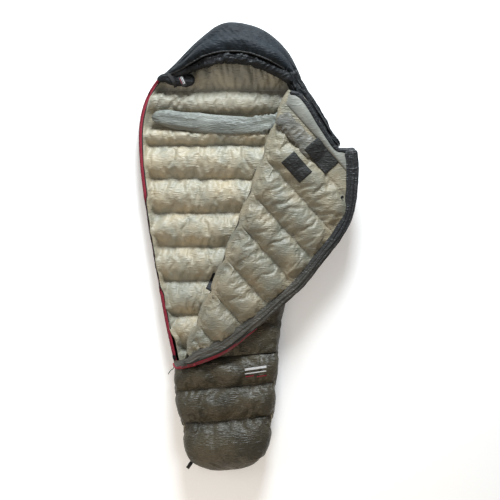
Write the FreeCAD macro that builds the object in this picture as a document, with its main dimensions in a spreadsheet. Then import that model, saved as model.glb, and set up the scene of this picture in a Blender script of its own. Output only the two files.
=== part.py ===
import FreeCAD, Part
import math
import os

from FreeCAD import Vector

# Mummy sleeping bag lying on its back, unzipped, with the front panel folded open as a flap.
# Frame: millimetres, +Z up from the floor, +Y towards the hood, origin under the middle of the bag.
# Every panel is a quilt: an outer shell, a lining, and between them a row of down chambers
# that run across the panel and are parted by thin baffle walls.

doc = FreeCAD.newDocument("MummySleepingBag")

# ---------------------------------------------------------------- driving dimensions
SIZES = [
    ("skin", 2.0, "thickness of a fabric solid"),
    ("ease", 0.5, "clearance between a skin and the down it covers"),
    ("edge_wall", 4.0, "thickness of a side panel"),
    ("floor_clear", 3.0, "side panels start this far above the floor"),
    ("back_seam", 26.0, "height of the back panel's lining at a seam"),
    ("back_peak", 62.0, "height of the back panel's lining at the crown of a chamber"),
    ("baffle_pitch", 163.5, "distance between the seams of the back panel"),
    ("first_seam", 490.0, "Y of the first seam below the draft collar"),
    ("front_base", 80.0, "underside of the front panel, above the leg cavity"),
    ("wall_top", 112.0, "top of the side panels"),
    ("front_seam", 118.0, "height of the foot's outer shell at a seam"),
    ("front_peak", 150.0, "height of the foot's outer shell at the crown of a chamber"),
    ("under_seam", 110.0, "the same seam where the flap lies on the front panel"),
    ("under_peak", 116.0, "the same crown where the flap lies on the front panel"),
    ("fold_height", 122.0, "height of the line that the flap folds about"),
    ("flap_base", 127.0, "underside of the open flap"),
    ("flap_seam", 146.0, "height of the flap's lining at a seam"),
    ("flap_peak", 170.0, "height of the flap's lining at the crown of a chamber"),
    ("flap_gap", 2.5, "distance of both quilts from the fold line"),
    ("seam_angle", 48.0, "slope of the open flap's seams below the X axis, degrees"),
    ("front_angle", 5.0, "slope of the foot's seams above the X axis, degrees"),
    ("baffle_wall", 1.5, "thickness of a baffle wall"),
    ("collar_low", 30.0, "underside of the draft collar"),
    ("collar_high", 72.0, "top of the draft collar"),
    ("crown_top", 165.0, "top of the hood's crown"),
    ("crown_ceiling", 92.0, "ceiling of the space for the head"),
    ("crown_skirt", 38.0, "depth of the crown's padded rim"),
    ("brim_radius", 32.0, "radius of the hood's padded brim"),
    ("brim_height", 125.0, "height of the brim's centre line"),
    ("cord_radius", 2.5, "radius of the hood's drawcord"),
    ("tape_low", 60.0, "underside of the zip tape on the back panel"),
    ("tape_width", 22.0, "width of the zip tape on the back panel"),
    ("tape_thick", 2.0, "thickness of the zip tape"),
    ("coil_size", 5.5, "height of the zip coil"),
    ("coil_width", 6.0, "width of one half of the zip coil"),
    ("guard_width", 11.0, "width of the anti-snag guard"),
    ("flap_tape_width", 14.0, "width of the zip tape that shows past the flap"),
    ("draft_width", 42.0, "width of the draft tube along the flap's zip"),
    ("draft_low", 130.0, "underside of the draft tube"),
    ("draft_high", 160.0, "top of the draft tube"),
    ("slider_length", 16.0, "length of the zip slider"),
    ("slider_width", 15.0, "width of the zip slider"),
    ("pull_length", 22.0, "length of the slider's pull"),
    ("pull_width", 7.0, "width of the slider's pull"),
    ("pull_thick", 1.6, "thickness of the slider's pull"),
    ("pull_cord_radius", 1.8, "radius of the cord on the slider's pull"),
    ("strap_length", 100.0, "length of the closure strap"),
    ("strap_width", 24.0, "width of the closure strap"),
    ("strap_thick", 3.0, "thickness of the closure strap"),
    ("pocket_length", 129.0, "length of the inner pocket"),
    ("pocket_width", 80.0, "width of the inner pocket"),
    ("patch_length", 155.0, "length of the dark patch at the end of the collar"),
    ("patch_width", 88.0, "width of the dark patch at the end of the collar"),
    ("patch_thick", 2.0, "thickness of a pocket or patch"),
    ("stud_radius", 7.0, "radius of the press stud"),
    ("stud_height", 4.0, "height of the press stud"),
    ("garage_length", 118.0, "length of the padded cover at the top of the zip"),
    ("garage_width", 40.0, "width of the padded cover at the top of the zip"),
    ("garage_low", 64.0, "underside of the padded cover"),
    ("garage_high", 92.0, "top of the padded cover"),
    ("label_length", 80.0, "length of the label on the cover"),
    ("label_width", 32.0, "width of the label on the cover"),
    ("loop_width", 16.0, "width of a hang loop's webbing"),
    ("loop_length", 42.0, "length of a hang loop outside the seam"),
    ("loop_thick", 2.0, "thickness of a hang loop's webbing"),
]

sheet = doc.addObject("Spreadsheet::Sheet", "Sizes")
for row, (alias, value, meaning) in enumerate(SIZES, start=1):
    sheet.set(f"A{row}", meaning)
    sheet.set(f"B{row}", str(value))
    sheet.setAlias(f"B{row}", alias)
doc.recompute()


def size(alias):
    """The value of one driving dimension."""
    return float(getattr(sheet, alias))


# ---------------------------------------------------------------- outlines, in plan
# The whole bag from above, from the top of the hood round by its right side.
BODY = [
    (-104, 1076), (60, 1048), (182, 950), (245, 838), (277, 735), (333, 664), (420, 505),
    (458, 330), (417, 104), (300, -80), (196, -220), (158, -400), (138, -640), (123, -832),
    (64, -1014), (-103, -1076), (-266, -1022), (-318, -860), (-350, -690), (-350, -575),
    (-394, -365), (-440, -110), (-481, 130), (-516, 400), (-515, 610), (-458, 765),
    (-349, 878), (-225, 1000),
]
# The line that the flap folds about, from the end of the zip to the side of the hood.
FOLD_LOW = Vector(-309, -556, 0)
FOLD_TOP = Vector(202, 739, 0)
# The open flap: its neck edge, and its zip edge from the neck back to the end of the zip.
FLAP_NECK = [(264, 711), (346, 582), (417, 477), (460, 462)]
FLAP_CORNER = (517, 466)
FLAP_ZIP = [
    (517, 466), (522, 355), (499, 156), (436, 32), (355, -71), (261, -190), (169, -272),
    (49, -379), (-99, -498), (-252, -560),
]
# Seams of the flap, measured from the end of the zip across its chambers.
FLAP_SEAMS = [-60, 180, 335, 487, 645, 787, 942, 1105]
FLAP_NECK_END = 1420.0
FLAP_COLLAR = (1112.0, 1192.0)
# Seams of the closed front panel, from the foot to the neck.
FOOT_SEAMS = [-1120, -845, -690, -540]
UNDER_SEAMS = [-540, -380, -220, -60, 100, 260, 420, 580, 760]
# The ends of the draft collar, and the valley in the lining that it lies in.
COLLAR_PLAN = [(-486, 540), (-474, 680), (162, 680), (112, 540)]
COLLAR_VALLEY = (575.0, 665.0)
HOOD_SEAMS = [665.0, 795.0, 1100.0]
PATCH_CENTRE = (350, 430)
POCKET_CENTRE = (231, 374)
STUD_CENTRE = (446, 233)
GARAGE_CENTRE = (-322, 795)
STRAP_CENTRE = (-351, 800)
SLIDER_Y = (-536.0, -446.0)
PULL_CORD = [(-353, -584, 72), (-372, -592, 63), (-381, -612, 46)]
LOOP_ROOT = (-264, -1026)
LOOP_TIP = (-292, -1067)
LOOP_HEIGHT = 58.0
# The crown's widest outline; the part below the brim is cut away.
CROWN = [
    (-104, 1076), (60, 1048), (182, 950), (236, 850), (215, 770), (60, 735), (-150, 735),
    (-310, 770), (-362, 840), (-318, 915), (-225, 1000),
]
# Height and inset of the crown's outside, from its rim to its top.
CROWN_LEVELS = [(2, 22), (40, 0), (95, 8), (132, 38), (155, 84), (165, 135)]
# Centre line of the brim, as an arc through three points.
BRIM_ARC = [Vector(-262, 850, 0), Vector(-50, 896, 0), Vector(193, 806, 0)]
NECK_LINE = 795.0

fold_along = (FOLD_TOP - FOLD_LOW).normalize()
fold_across = Vector(fold_along.y, -fold_along.x, 0)


# ---------------------------------------------------------------- helpers
def vec(point, height=0.0):
    return Vector(point[0], point[1], height)


def spline_edge(points):
    curve = Part.BSplineCurve()
    curve.interpolate([vec(p) for p in points])
    return curve.toShape()


def closed_curve(points):
    curve = Part.BSplineCurve()
    curve.interpolate([vec(p) for p in points], PeriodicFlag=True)
    return curve


def closed_spline_face(points):
    return Part.Face(Part.Wire([closed_curve(points).toShape()]))


def inset_face(points, inset):
    """The plan inside a clockwise loop, its outline drawn in by a distance all round."""
    curve = closed_curve(points)
    drawn_in = []
    for point in points:
        tangent = curve.tangent(curve.parameter(vec(point)))[0]
        drawn_in.append((point[0] + tangent.y * inset, point[1] - tangent.x * inset))
    return closed_spline_face(drawn_in)


def polygon_face(points):
    corners = [vec(p) for p in points]
    return Part.Face(Part.makePolygon(corners + corners[:1]))


def box_face(x0, y0, x1, y1):
    return polygon_face([(x0, y0), (x1, y0), (x1, y1), (x0, y1)])


def moved(face, dx, dy):
    copy = face.copy()
    copy.translate(Vector(dx, dy, 0))
    return copy


def feature(name, shape):
    """A Part::Feature that holds a shape worked out from the driving dimensions."""
    obj = doc.addObject("Part::Feature", name)
    obj.Shape = shape
    return obj


def extruded(name, face, low, height):
    """A prism of a plan face, from one named height, as tall as an expression says."""
    base = feature(f"{name}_plan", face)
    obj = doc.addObject("Part::Extrusion", name)
    obj.Base = base
    obj.DirMode = "Custom"
    obj.Dir = Vector(0, 0, 1)
    obj.Solid = True
    obj.setExpression("LengthFwd", height)
    obj.setExpression("Placement.Base.z", low)
    return obj


def common(name, first, second):
    obj = doc.addObject("Part::Common", name)
    obj.Base = first
    obj.Tool = second
    return obj


def cut(name, base, tool):
    obj = doc.addObject("Part::Cut", name)
    obj.Base = base
    obj.Tool = tool
    return obj


PARTS = {}


def sub_part(node, obj):
    """Marks an object as a sub-part; its Label names its file."""
    obj.Label = node
    PARTS[node] = obj
    return obj


class Quilt:
    """Chambers side by side. Distances run across them, from an origin in plan."""

    reach = 1400.0

    def __init__(self, origin, angle):
        turn = math.radians(angle)
        self.along = Vector(math.cos(turn), math.sin(turn), 0)
        self.across = Vector(-math.sin(turn), math.cos(turn), 0)
        self.start = Vector(origin.x, origin.y, 0) - self.along * self.reach

    def point(self, distance, height):
        return self.start + self.across * distance + Vector(0, 0, height)

    def arch(self, low, high, seam, peak):
        middle = (low + high) / 2
        if abs(peak - seam) < 0.01:
            return Part.LineSegment(self.point(low, seam), self.point(high, seam)).toShape()
        ends = self.point(low, seam), self.point(middle, peak), self.point(high, seam)
        return Part.Arc(*ends).toShape()

    def chamber_face(self, low, high, base, seam, peak):
        """The section of one chamber: a flat base, upright sides and an arched top."""
        top = self.arch(low, high, seam, peak)
        sides = [
            Part.makeLine(self.point(high, seam), self.point(high, base)),
            Part.makeLine(self.point(high, base), self.point(low, base)),
            Part.makeLine(self.point(low, base), self.point(low, seam)),
        ]
        return Part.Face(Part.Wire([top] + sides))

    def skin_face(self, spans, seam, peak, thick, flat=()):
        """The section of a fabric that arches over every span but the flat ones."""
        peaks = [seam if span in flat else peak for span in spans]
        upper = [self.arch(*span, seam, top) for span, top in zip(spans, peaks)]
        lower = [self.arch(*span, seam - thick, top - thick) for span, top in zip(spans, peaks)]
        first, last = spans[0][0], spans[-1][1]
        ends = [
            Part.makeLine(self.point(last, seam), self.point(last, seam - thick)),
            Part.makeLine(self.point(first, seam - thick), self.point(first, seam)),
        ]
        wire = Part.Wire(Part.__sortEdges__(upper + lower + ends))
        return Part.Face(wire)

    def run(self, face):
        """The section drawn out along the chambers."""
        return face.extrude(self.along * 2 * self.reach)


def spans_of(seams):
    return list(zip(seams[:-1], seams[1:]))


def grouped(items, count):
    return [items[n:n + count] for n in range(0, len(items), count)]


def bars(quilt, spans, base, seam, peak):
    """The down of some chambers as long bars, clear of the skins and of the baffle walls."""
    side = size("baffle_wall")
    lower = size("skin") + size("ease")
    faces = [
        quilt.chamber_face(low + side, high - side, base, seam - lower, peak - lower)
        for low, high in spans
    ]
    return Part.makeCompound([quilt.run(face) for face in faces])


def make_fills(quilt, prefix, groups, room, base, seam, peak):
    """The down of each group of chambers, cut to the panel's plan."""
    for number, spans in enumerate(groups, start=1):
        name = f"{prefix}_{number:02d}"
        down = bars(quilt, spans, base, seam, peak)
        fill = common(f"{name}_solid", feature(f"{name}_room", room), feature(f"{name}_bars", down))
        sub_part(name, fill)


def clipped(node, room, solid):
    """A sub-part made by cutting a long solid to a panel's plan."""
    return sub_part(node, common(f"{node}_solid", feature(f"{node}_room", room), feature(f"{node}_run", solid)))


def make_walls(quilt, node, seams, room, base, top):
    """The upright baffle walls between the chambers, one node of separate solids."""
    half = size("baffle_wall") / 2
    faces = [quilt.chamber_face(seam - half, seam + half, base, top, top) for seam in seams]
    clipped(node, room, Part.makeCompound([quilt.run(face) for face in faces]))


def prism(face, low, high):
    solid = face.extrude(Vector(0, 0, high - low))
    solid.translate(Vector(0, 0, low))
    return solid


# ---------------------------------------------------------------- plans of the panels
body_face = closed_spline_face(BODY)
inside_walls = inset_face(BODY, size("edge_wall") + 2)


def left_strip(outer, inner, low, high):
    """A strip along the open left edge, between two distances in from it."""
    band = moved(body_face, outer, 0).cut(moved(body_face, inner, 0))
    return band.common(body_face).common(box_face(-700, low, -200, high))


def pulled_in(points, inset):
    """The loop's points drawn towards its middle by a distance."""
    middle = Vector(sum(p[0] for p in points), sum(p[1] for p in points), 0) / len(points)
    spokes = [vec(p) - middle for p in points]
    return [middle + spoke * (1 - inset / spoke.Length) for spoke in spokes]


def loop_face(points, inset):
    return closed_spline_face([(p.x, p.y) for p in pulled_in(points, inset)])


brim_circle = Part.Arc(*BRIM_ARC).toShape().Curve
brim_centre, brim_bend = brim_circle.Center, brim_circle.Radius
BRIM_LEFT, BRIM_RIGHT = BRIM_ARC[0], BRIM_ARC[2]


def beyond_chord(margin):
    """Everything past the straight line between the brim's ends, towards the top of the head."""
    return polygon_face([
        (-700, BRIM_LEFT.y - margin), (BRIM_LEFT.x, BRIM_LEFT.y - margin),
        (BRIM_RIGHT.x, BRIM_RIGHT.y - margin), (700, BRIM_RIGHT.y - margin),
        (700, 1300), (-700, 1300),
    ])


def above_brim(margin):
    """Everything on the crown's side of the brim's centre line."""
    disc = Part.Face(Part.Wire([Part.makeCircle(brim_bend - margin, brim_centre)]))
    return beyond_chord(margin).cut(disc)


side_roll_plan = body_face.cut(moved(body_face, -size("draft_width"), -12))
side_roll_plan = side_roll_plan.common(box_face(200, 480, 500, NECK_LINE - 8))
tape_room = left_strip(-60, size("tape_width") + 4, -590, 900)
crown_room = above_brim(6).cut(loop_face(CROWN, size("crown_skirt") + 6))
back_plan = inside_walls.cut(tape_room).cut(crown_room)
back_plan = back_plan.cut(side_roll_plan).cut(moved(side_roll_plan, -3, -3))


def flap_face():
    neck = [(FOLD_TOP.x, FOLD_TOP.y)] + FLAP_NECK
    low = FOLD_LOW + fold_across * size("flap_gap")
    top = FOLD_TOP + fold_across * size("flap_gap")
    neck_edges = [
        Part.makeLine(top, vec(neck[1])),
        spline_edge(neck[1:]),
        Part.makeLine(vec(neck[-1]), vec(FLAP_CORNER)),
        spline_edge(FLAP_ZIP),
        Part.makeLine(vec(FLAP_ZIP[-1]), low),
        Part.makeLine(low, top),
    ]
    return Part.Face(Part.Wire(neck_edges))


whole_flap = flap_face()
zip_side = box_face(-700, -800, 700, FLAP_CORNER[1] + 2)


def flap_edge(inset):
    """The strip of the flap within a distance of its zip edge."""
    step = inset / math.sqrt(2)
    return whole_flap.cut(moved(whole_flap, -step, step)).common(zip_side)


flap_plan = whole_flap.cut(flap_edge(size("draft_width")))

fold_low = FOLD_LOW + fold_across * size("flap_gap")
fold_top = FOLD_TOP + fold_across * size("flap_gap")
front_half = polygon_face([
    (fold_low.x, fold_low.y), (fold_top.x, fold_top.y), (290, 700), (800, 540), (800, -1300),
    (-800, -1300), (-800, -590), (-360, -590),
])
roll_room = side_roll_plan.fuse(moved(side_roll_plan, -1, -1))
front_plan = inside_walls.common(front_half).cut(roll_room)
shell_plan = inset_face(BODY, 1).common(front_half).cut(roll_room)

# ---------------------------------------------------------------- back panel
skin = size("skin")
ease = size("ease")
lower = skin + ease
back = Quilt(Vector(0, 0, 0), 0)
torso_seams = [size("first_seam") - n * size("baffle_pitch") for n in range(10)]
torso_seams = [-1120.0] + sorted(torso_seams) + [COLLAR_VALLEY[0]]
torso_spans = spans_of(torso_seams)
hood_spans = spans_of(HOOD_SEAMS)

back_room = prism(back_plan, 0, size("crown_top"))
ground = polygon_face([(-600, -1200), (600, -1200), (600, 1200), (-600, 1200)])
clipped("back_outer_shell", back_room, prism(ground, 0, skin + 1))
fill_base = skin + 1 + ease
back_groups = grouped(torso_spans, 2) + [[span] for span in hood_spans]
make_fills(back, "back_down", back_groups, back_room, fill_base, size("back_seam"), size("back_peak"))
make_walls(
    back, "back_baffle_walls", torso_seams[1:] + HOOD_SEAMS[:-1], back_room,
    fill_base, size("back_seam") - lower,
)
lining_spans = torso_spans + [COLLAR_VALLEY] + hood_spans
lining_face = back.skin_face(lining_spans, size("back_seam"), size("back_peak"), skin, [COLLAR_VALLEY])
clipped("back_lining", back_room, back.run(lining_face))

# The draft collar is a padded tube across the neck, over the flat valley in the lining.
collar_face = back.chamber_face(
    COLLAR_VALLEY[0] + 3, COLLAR_VALLEY[1] - 3, size("collar_low"), size("collar_low") + 14, size("collar_high")
)
clipped("back_collar", prism(polygon_face(COLLAR_PLAN), 0, 100), back.run(collar_face))

# ---------------------------------------------------------------- side panels and footbox
ring = body_face.cut(inset_face(BODY, size("edge_wall")))
FOOTBOX_LINE = -905.0
wall_height = "Sizes.wall_top - Sizes.floor_clear"
right_ring = ring.common(box_face(-60, FOOTBOX_LINE, 700, 478))
left_ring = ring.common(box_face(-700, FOOTBOX_LINE, -200, -600))
foot_ring = ring.common(box_face(-700, -1300, 700, FOOTBOX_LINE - 1))
sub_part("right_side_panel", extruded("right_side_solid", right_ring, "Sizes.floor_clear", wall_height))
sub_part("left_side_panel", extruded("left_side_solid", left_ring, "Sizes.floor_clear", wall_height))
sub_part("footbox_end_panel", extruded("footbox_end_solid", foot_ring, "Sizes.floor_clear", wall_height))
sub_part("neck_side_roll", extruded("neck_side_solid", side_roll_plan, "Sizes.floor_clear", wall_height + " + 5"))

edge_ring = moved(body_face, size("tape_width") - 3, 0).cut(moved(body_face, size("tape_width"), 0))
edge_ring = edge_ring.common(box_face(-700, -590, -200, 780)).common(body_face)
sub_part("zip_side_panel", extruded(
    "zip_side_solid", edge_ring, "Sizes.floor_clear", "Sizes.tape_low - Sizes.floor_clear - Sizes.ease",
))

# ---------------------------------------------------------------- closed front panel
front = Quilt(Vector(0, 0, 0), size("front_angle"))
front_room = prism(front_plan, 0, size("crown_top"))
shell_room = prism(shell_plan, 0, size("crown_top"))
sub_part("front_lining", extruded("front_lining_solid", front_plan, "Sizes.front_base", "Sizes.skin"))
front_fill_base = size("front_base") + lower
foot_spans = spans_of(FOOT_SEAMS)
under_spans = spans_of(UNDER_SEAMS)
foot_groups = [[span] for span in foot_spans]
make_fills(
    front, "foot_down", foot_groups, front_room, front_fill_base, size("front_seam"), size("front_peak")
)
make_fills(
    front, "front_upper_down", grouped(under_spans, 4), front_room,
    front_fill_base, size("under_seam"), size("under_peak"),
)
make_walls(
    front, "front_baffle_walls", FOOT_SEAMS[1:] + UNDER_SEAMS[1:-1], front_room,
    front_fill_base, size("under_seam") - lower,
)
foot_skin = front.skin_face(foot_spans, size("front_seam"), size("front_peak"), skin)
under_skin = front.skin_face(under_spans, size("under_seam"), size("under_peak"), skin)
clipped("foot_outer_shell", shell_room, front.run(foot_skin))
clipped("front_upper_shell", front_room, front.run(under_skin))

# ---------------------------------------------------------------- flap
flap = Quilt(FOLD_LOW, -size("seam_angle"))
flap_room = prism(flap_plan, 0, 2 * size("crown_top"))
flap_spans = spans_of(FLAP_SEAMS)
neck_span = (FLAP_SEAMS[-1], FLAP_NECK_END)
sub_part("flap_outer_shell", extruded("flap_outer_shell_solid", flap_plan, "Sizes.flap_base", "Sizes.skin"))
flap_fill_base = size("flap_base") + lower
flap_seam, flap_peak = size("flap_seam"), size("flap_peak")
make_fills(flap, "flap_down", grouped(flap_spans, 2), flap_room, flap_fill_base, flap_seam, flap_peak)
clipped("flap_neck_down", flap_room, bars(flap, [neck_span], flap_fill_base, flap_seam, flap_seam))
make_walls(flap, "flap_baffle_walls", FLAP_SEAMS[1:], flap_room, flap_fill_base, flap_seam - lower)
flap_face_section = flap.skin_face(flap_spans + [neck_span], flap_seam, flap_peak, skin, [neck_span])
clipped("flap_lining", flap_room, flap.run(flap_face_section))

# The other half of the draft collar lies on the flap, with a dark patch over its end.
collar_base = flap_seam + ease
collar_arch = flap.chamber_face(*FLAP_COLLAR, collar_base, collar_base + 8, flap_peak - skin - ease)
clipped("flap_collar", flap_room, flap.run(collar_arch))
patch_skin = flap.skin_face([FLAP_COLLAR], collar_base + 8 + lower, flap_peak, skin)
pocket_skin = flap.skin_face([flap_spans[-1]], flap_seam + lower, flap_peak + lower, skin)


def slanted_plate(centre, length, width, angle):
    """A rectangle in plan, its length turned from the X axis."""
    plate = box_face(-length / 2, -width / 2, length / 2, width / 2)
    plate.rotate(Vector(0, 0, 0), Vector(0, 0, 1), angle)
    plate.translate(vec(centre))
    return plate


patch_plan = slanted_plate(PATCH_CENTRE, size("patch_length"), size("patch_width"), -size("seam_angle"))
pocket_plan = slanted_plate(POCKET_CENTRE, size("pocket_length"), size("pocket_width"), -size("seam_angle"))
patch_room = prism(patch_plan.common(flap_plan), 0, 2 * size("crown_top"))
clipped("collar_patch", patch_room, flap.run(patch_skin))
clipped("flap_pocket", prism(pocket_plan.common(flap_plan), 0, 2 * size("crown_top")), flap.run(pocket_skin))

stud = doc.addObject("Part::Cylinder", "press_stud_solid")
stud.setExpression("Radius", "Sizes.stud_radius")
stud.setExpression("Height", "Sizes.stud_height")
stud.Placement.Base = vec(STUD_CENTRE, flap_seam + 12)
sub_part("press_stud", stud)

# The draft tube, the zip tape, its coil and its guard lie outside the quilted part of the flap.
GUARD_END = -490.0
tube_zone = box_face(-120, GUARD_END, 700, 700)
tube_plan = flap_edge(size("draft_width") - 1).cut(flap_edge(1)).common(tube_zone)
sub_part("draft_tube", extruded("draft_tube_solid", tube_plan, "Sizes.draft_low", "Sizes.draft_high - Sizes.draft_low"))
tape_plan = flap_edge(size("flap_tape_width")).common(box_face(-290, -800, 700, 455))
flap_tape_low = "Sizes.draft_high + 1"
sub_part("flap_zip_tape", extruded("flap_zip_tape_solid", tape_plan, flap_tape_low, "Sizes.tape_thick"))
coil_out = (1.5 + size("coil_width")) / math.sqrt(2)
coil_plan = moved(whole_flap, coil_out, -coil_out).cut(moved(whole_flap, 1, -1)).common(box_face(-240, -800, 700, 440))
sub_part("flap_zip_coil", extruded("flap_zip_coil_solid", coil_plan, flap_tape_low, "Sizes.coil_size - 1"))
guard_plan = tape_plan.common(tube_zone)
sub_part("flap_zip_guard", extruded(
    "flap_zip_guard_solid", guard_plan, flap_tape_low + " + Sizes.tape_thick + Sizes.ease", "Sizes.tape_thick",
))

# ---------------------------------------------------------------- zip on the back panel
ZIP_END = -560.0
ZIP_TOP = 745.0
body_tape = left_strip(0, size("tape_width"), ZIP_END, ZIP_TOP)
sub_part("body_zip_tape", extruded("body_zip_tape_solid", body_tape, "Sizes.tape_low", "Sizes.tape_thick"))
body_coil = left_strip(0.5, size("coil_width"), ZIP_END + 15, ZIP_TOP - 12)
coil_low = "Sizes.tape_low + Sizes.tape_thick + Sizes.ease"
sub_part("body_zip_coil", extruded("body_zip_coil_solid", body_coil, coil_low, "Sizes.coil_size"))
guard_from = size("tape_width") - size("guard_width")
body_guard = left_strip(guard_from, size("tape_width") - 0.5, ZIP_END + 170, ZIP_TOP)
sub_part("body_zip_guard", extruded("body_zip_guard_solid", body_guard, coil_low, "Sizes.tape_thick"))


def stop(name, y, extra):
    """A moulded block over the end of the coil."""
    band = left_strip(-1, size("coil_width") + 1, y, y + 6)
    return extruded(name, band, coil_low, f"Sizes.coil_size + {extra}")


sub_part("zip_bottom_stop", stop("zip_bottom_stop_solid", ZIP_END + 8, 0.5))
sub_part("zip_top_stop", stop("zip_top_stop_solid", ZIP_TOP - 11, 0.5))

# The slider straddles the coil, at the bottom of the zip.
def coil_middle(y):
    """A point on the middle line of the back panel's coil."""
    chord = body_face.common(Part.makeLine(Vector(-700, y, 0), Vector(0, y, 0)))
    return Vector(chord.BoundBox.XMin + (size("coil_width") + 0.5) / 2, y, 0)


zip_low, zip_high = [coil_middle(y) for y in SLIDER_Y]
zip_way = (zip_high - zip_low).normalize()
zip_angle = math.degrees(math.atan2(zip_way.y, zip_way.x))
print("slider from", zip_low, "along", zip_way)
half_width = size("slider_width") / 2
flange = 3.0
slider_low = size("tape_low") + skin + ease
roof_low = slider_low + size("coil_size") + 1.0
roof_high = roof_low + 2.5
section = [
    (-half_width, slider_low), (-half_width, roof_high), (half_width, roof_high), (half_width, slider_low),
    (half_width - flange, slider_low), (half_width - flange, roof_low),
    (flange - half_width, roof_low), (flange - half_width, slider_low),
]
section_points = [Vector(0, across, up) for across, up in section]
slider_face = Part.Face(Part.makePolygon(section_points + section_points[:1]))
slider = doc.addObject("Part::Extrusion", "zip_slider_solid")
slider.Base = feature("zip_slider_section", slider_face)
slider.DirMode = "Custom"
slider.Dir = Vector(1, 0, 0)
slider.Solid = True
slider.setExpression("LengthFwd", "Sizes.slider_length")
slider.Placement = FreeCAD.Placement(zip_low, FreeCAD.Rotation(Vector(0, 0, 1), zip_angle))
sub_part("zip_slider", slider)

pull = doc.addObject("Part::Box", "zip_pull_solid")
pull.setExpression("Length", "Sizes.pull_length")
pull.setExpression("Width", "Sizes.pull_width")
pull.setExpression("Height", "Sizes.pull_thick")
pull_corner = zip_low + zip_way * (4 - size("pull_length"))
pull_side = Vector(zip_way.y, -zip_way.x, 0) * size("pull_width") / 2
pull_base = pull_corner + pull_side + Vector(0, 0, roof_high + ease)
pull.Placement = FreeCAD.Placement(pull_base, FreeCAD.Rotation(Vector(0, 0, 1), zip_angle))
sub_part("zip_pull", pull)


def corded(points, radius):
    """A tube of straight runs joined by tangent arcs."""
    edges = []
    start = points[0]
    for before, corner, after in zip(points[:-2], points[1:-1], points[2:]):
        into = (corner - before).normalize()
        out = (after - corner).normalize()
        turn = into.getAngle(out)
        reach = 0.45 * min((corner - before).Length, (after - corner).Length)
        print("cord bend radius", round(reach / math.tan(turn / 2), 1))
        first, last = corner - into * reach, corner + out * reach
        bulge = (out - into).normalize() * reach / math.tan(turn / 2)
        hub = corner + (out - into).normalize() * reach / math.sin(turn / 2)
        middle = hub - (out - into).normalize() * bulge.Length
        edges.append(Part.makeLine(start, first))
        edges.append(Part.Arc(first, middle, last).toShape())
        start = last
    edges.append(Part.makeLine(start, points[-1]))
    path = Part.Wire(edges)
    circle = Part.makeCircle(radius, points[0], points[1] - points[0])
    return path.makePipeShell([Part.Wire([circle])], True, False)


cord_start = pull_corner + Vector(0, 0, roof_high + ease + size("pull_thick") / 2)
cord_points = [cord_start - zip_way * 1.0] + [Vector(*p) for p in PULL_CORD]
sub_part("zip_pull_cord", feature("zip_pull_cord_solid", corded(cord_points, size("pull_cord_radius"))))

# ---------------------------------------------------------------- top of the zip
garage_angle = -21.0
garage_plan = slanted_plate(GARAGE_CENTRE, size("garage_length"), size("garage_width"), garage_angle)
sub_part("zip_garage", extruded(
    "zip_garage_solid", garage_plan, "Sizes.garage_low", "Sizes.garage_high - Sizes.garage_low",
))
label_plan = slanted_plate(GARAGE_CENTRE, size("label_length"), size("label_width"), garage_angle)
label_plan.translate(Vector(15, -6, 0))
sub_part("garage_label", extruded(
    "garage_label_solid", label_plan, "Sizes.garage_high + Sizes.ease", "Sizes.skin / 2",
))
strap_plan = slanted_plate(STRAP_CENTRE, size("strap_length"), size("strap_width"), -61.0)
sub_part("closure_strap", extruded(
    "closure_strap_solid", strap_plan, "Sizes.garage_high + 2.5", "Sizes.strap_thick",
))

# ---------------------------------------------------------------- hood
above = prism(above_brim(0), -10, 2 * size("crown_top"))


def dome(inset):
    """A padded dome through the crown's levels, drawn in and lowered by the same distance."""
    wires = []
    for height, inward in CROWN_LEVELS:
        points = pulled_in(CROWN, inward + inset)
        curve = Part.BSplineCurve()
        curve.interpolate([p + Vector(0, 0, height - inset) for p in points], PeriodicFlag=True)
        wires.append(Part.Wire([curve.toShape()]))
    return Part.makeLoft(wires, True, True)


def head_space(inset, top):
    """The upright-walled space under the crown."""
    return prism(loop_face(CROWN, inset), -10, top)


def brim_tube(name, radius):
    """A length of torus along the brim's centre line."""
    tube = doc.addObject("Part::Torus", name)
    start = BRIM_RIGHT - brim_centre
    finish = BRIM_LEFT - brim_centre
    tube.Radius1 = brim_bend
    tube.setExpression("Radius2", radius)
    tube.Angle3 = math.degrees(start.getAngle(finish))
    turn = FreeCAD.Rotation(Vector(0, 0, 1), math.degrees(math.atan2(start.y, start.x)))
    tube.Placement = FreeCAD.Placement(brim_centre + Vector(0, 0, size("brim_height")), turn)
    return tube


rim_height = CROWN_LEVELS[0][0]
top_room = prism(beyond_chord(0), rim_height, 2 * size("crown_top"))
brim_lift = Vector(0, 0, size("brim_height"))
open_front = Part.makeCylinder(brim_bend, 3 * size("crown_top"), brim_centre - brim_lift)
brim_room = Part.makeTorus(brim_bend, size("brim_radius") + ease, brim_centre + brim_lift)
shell_thick = skin + 1
skirt = size("crown_skirt")
roof = size("crown_ceiling")
crown_layers = [
    ("hood_crown_shell", dome(0), dome(shell_thick)),
    ("hood_crown_down", dome(shell_thick + ease), head_space(skirt - lower, roof + lower)),
    ("hood_crown_lining", head_space(skirt - skin, roof + skin), head_space(skirt, roof)),
]
for node, outside, inside in crown_layers:
    layer = common(f"{node}_base", feature(f"{node}_outside", outside), feature(f"{node}_zone", top_room))
    for step, tool in enumerate([inside, open_front, brim_room], start=1):
        layer = cut(f"{node}_cut_{step}", layer, feature(f"{node}_tool_{step}", tool))
    sub_part(node, layer)

brim = cut("hood_brim_solid", brim_tube("brim_roll", "Sizes.brim_radius"), brim_tube(
    "brim_channel", "Sizes.cord_radius + Sizes.ease",
))
sub_part("hood_brim", brim)
sub_part("brim_drawcord", brim_tube("brim_drawcord_solid", "Sizes.cord_radius"))

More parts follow.
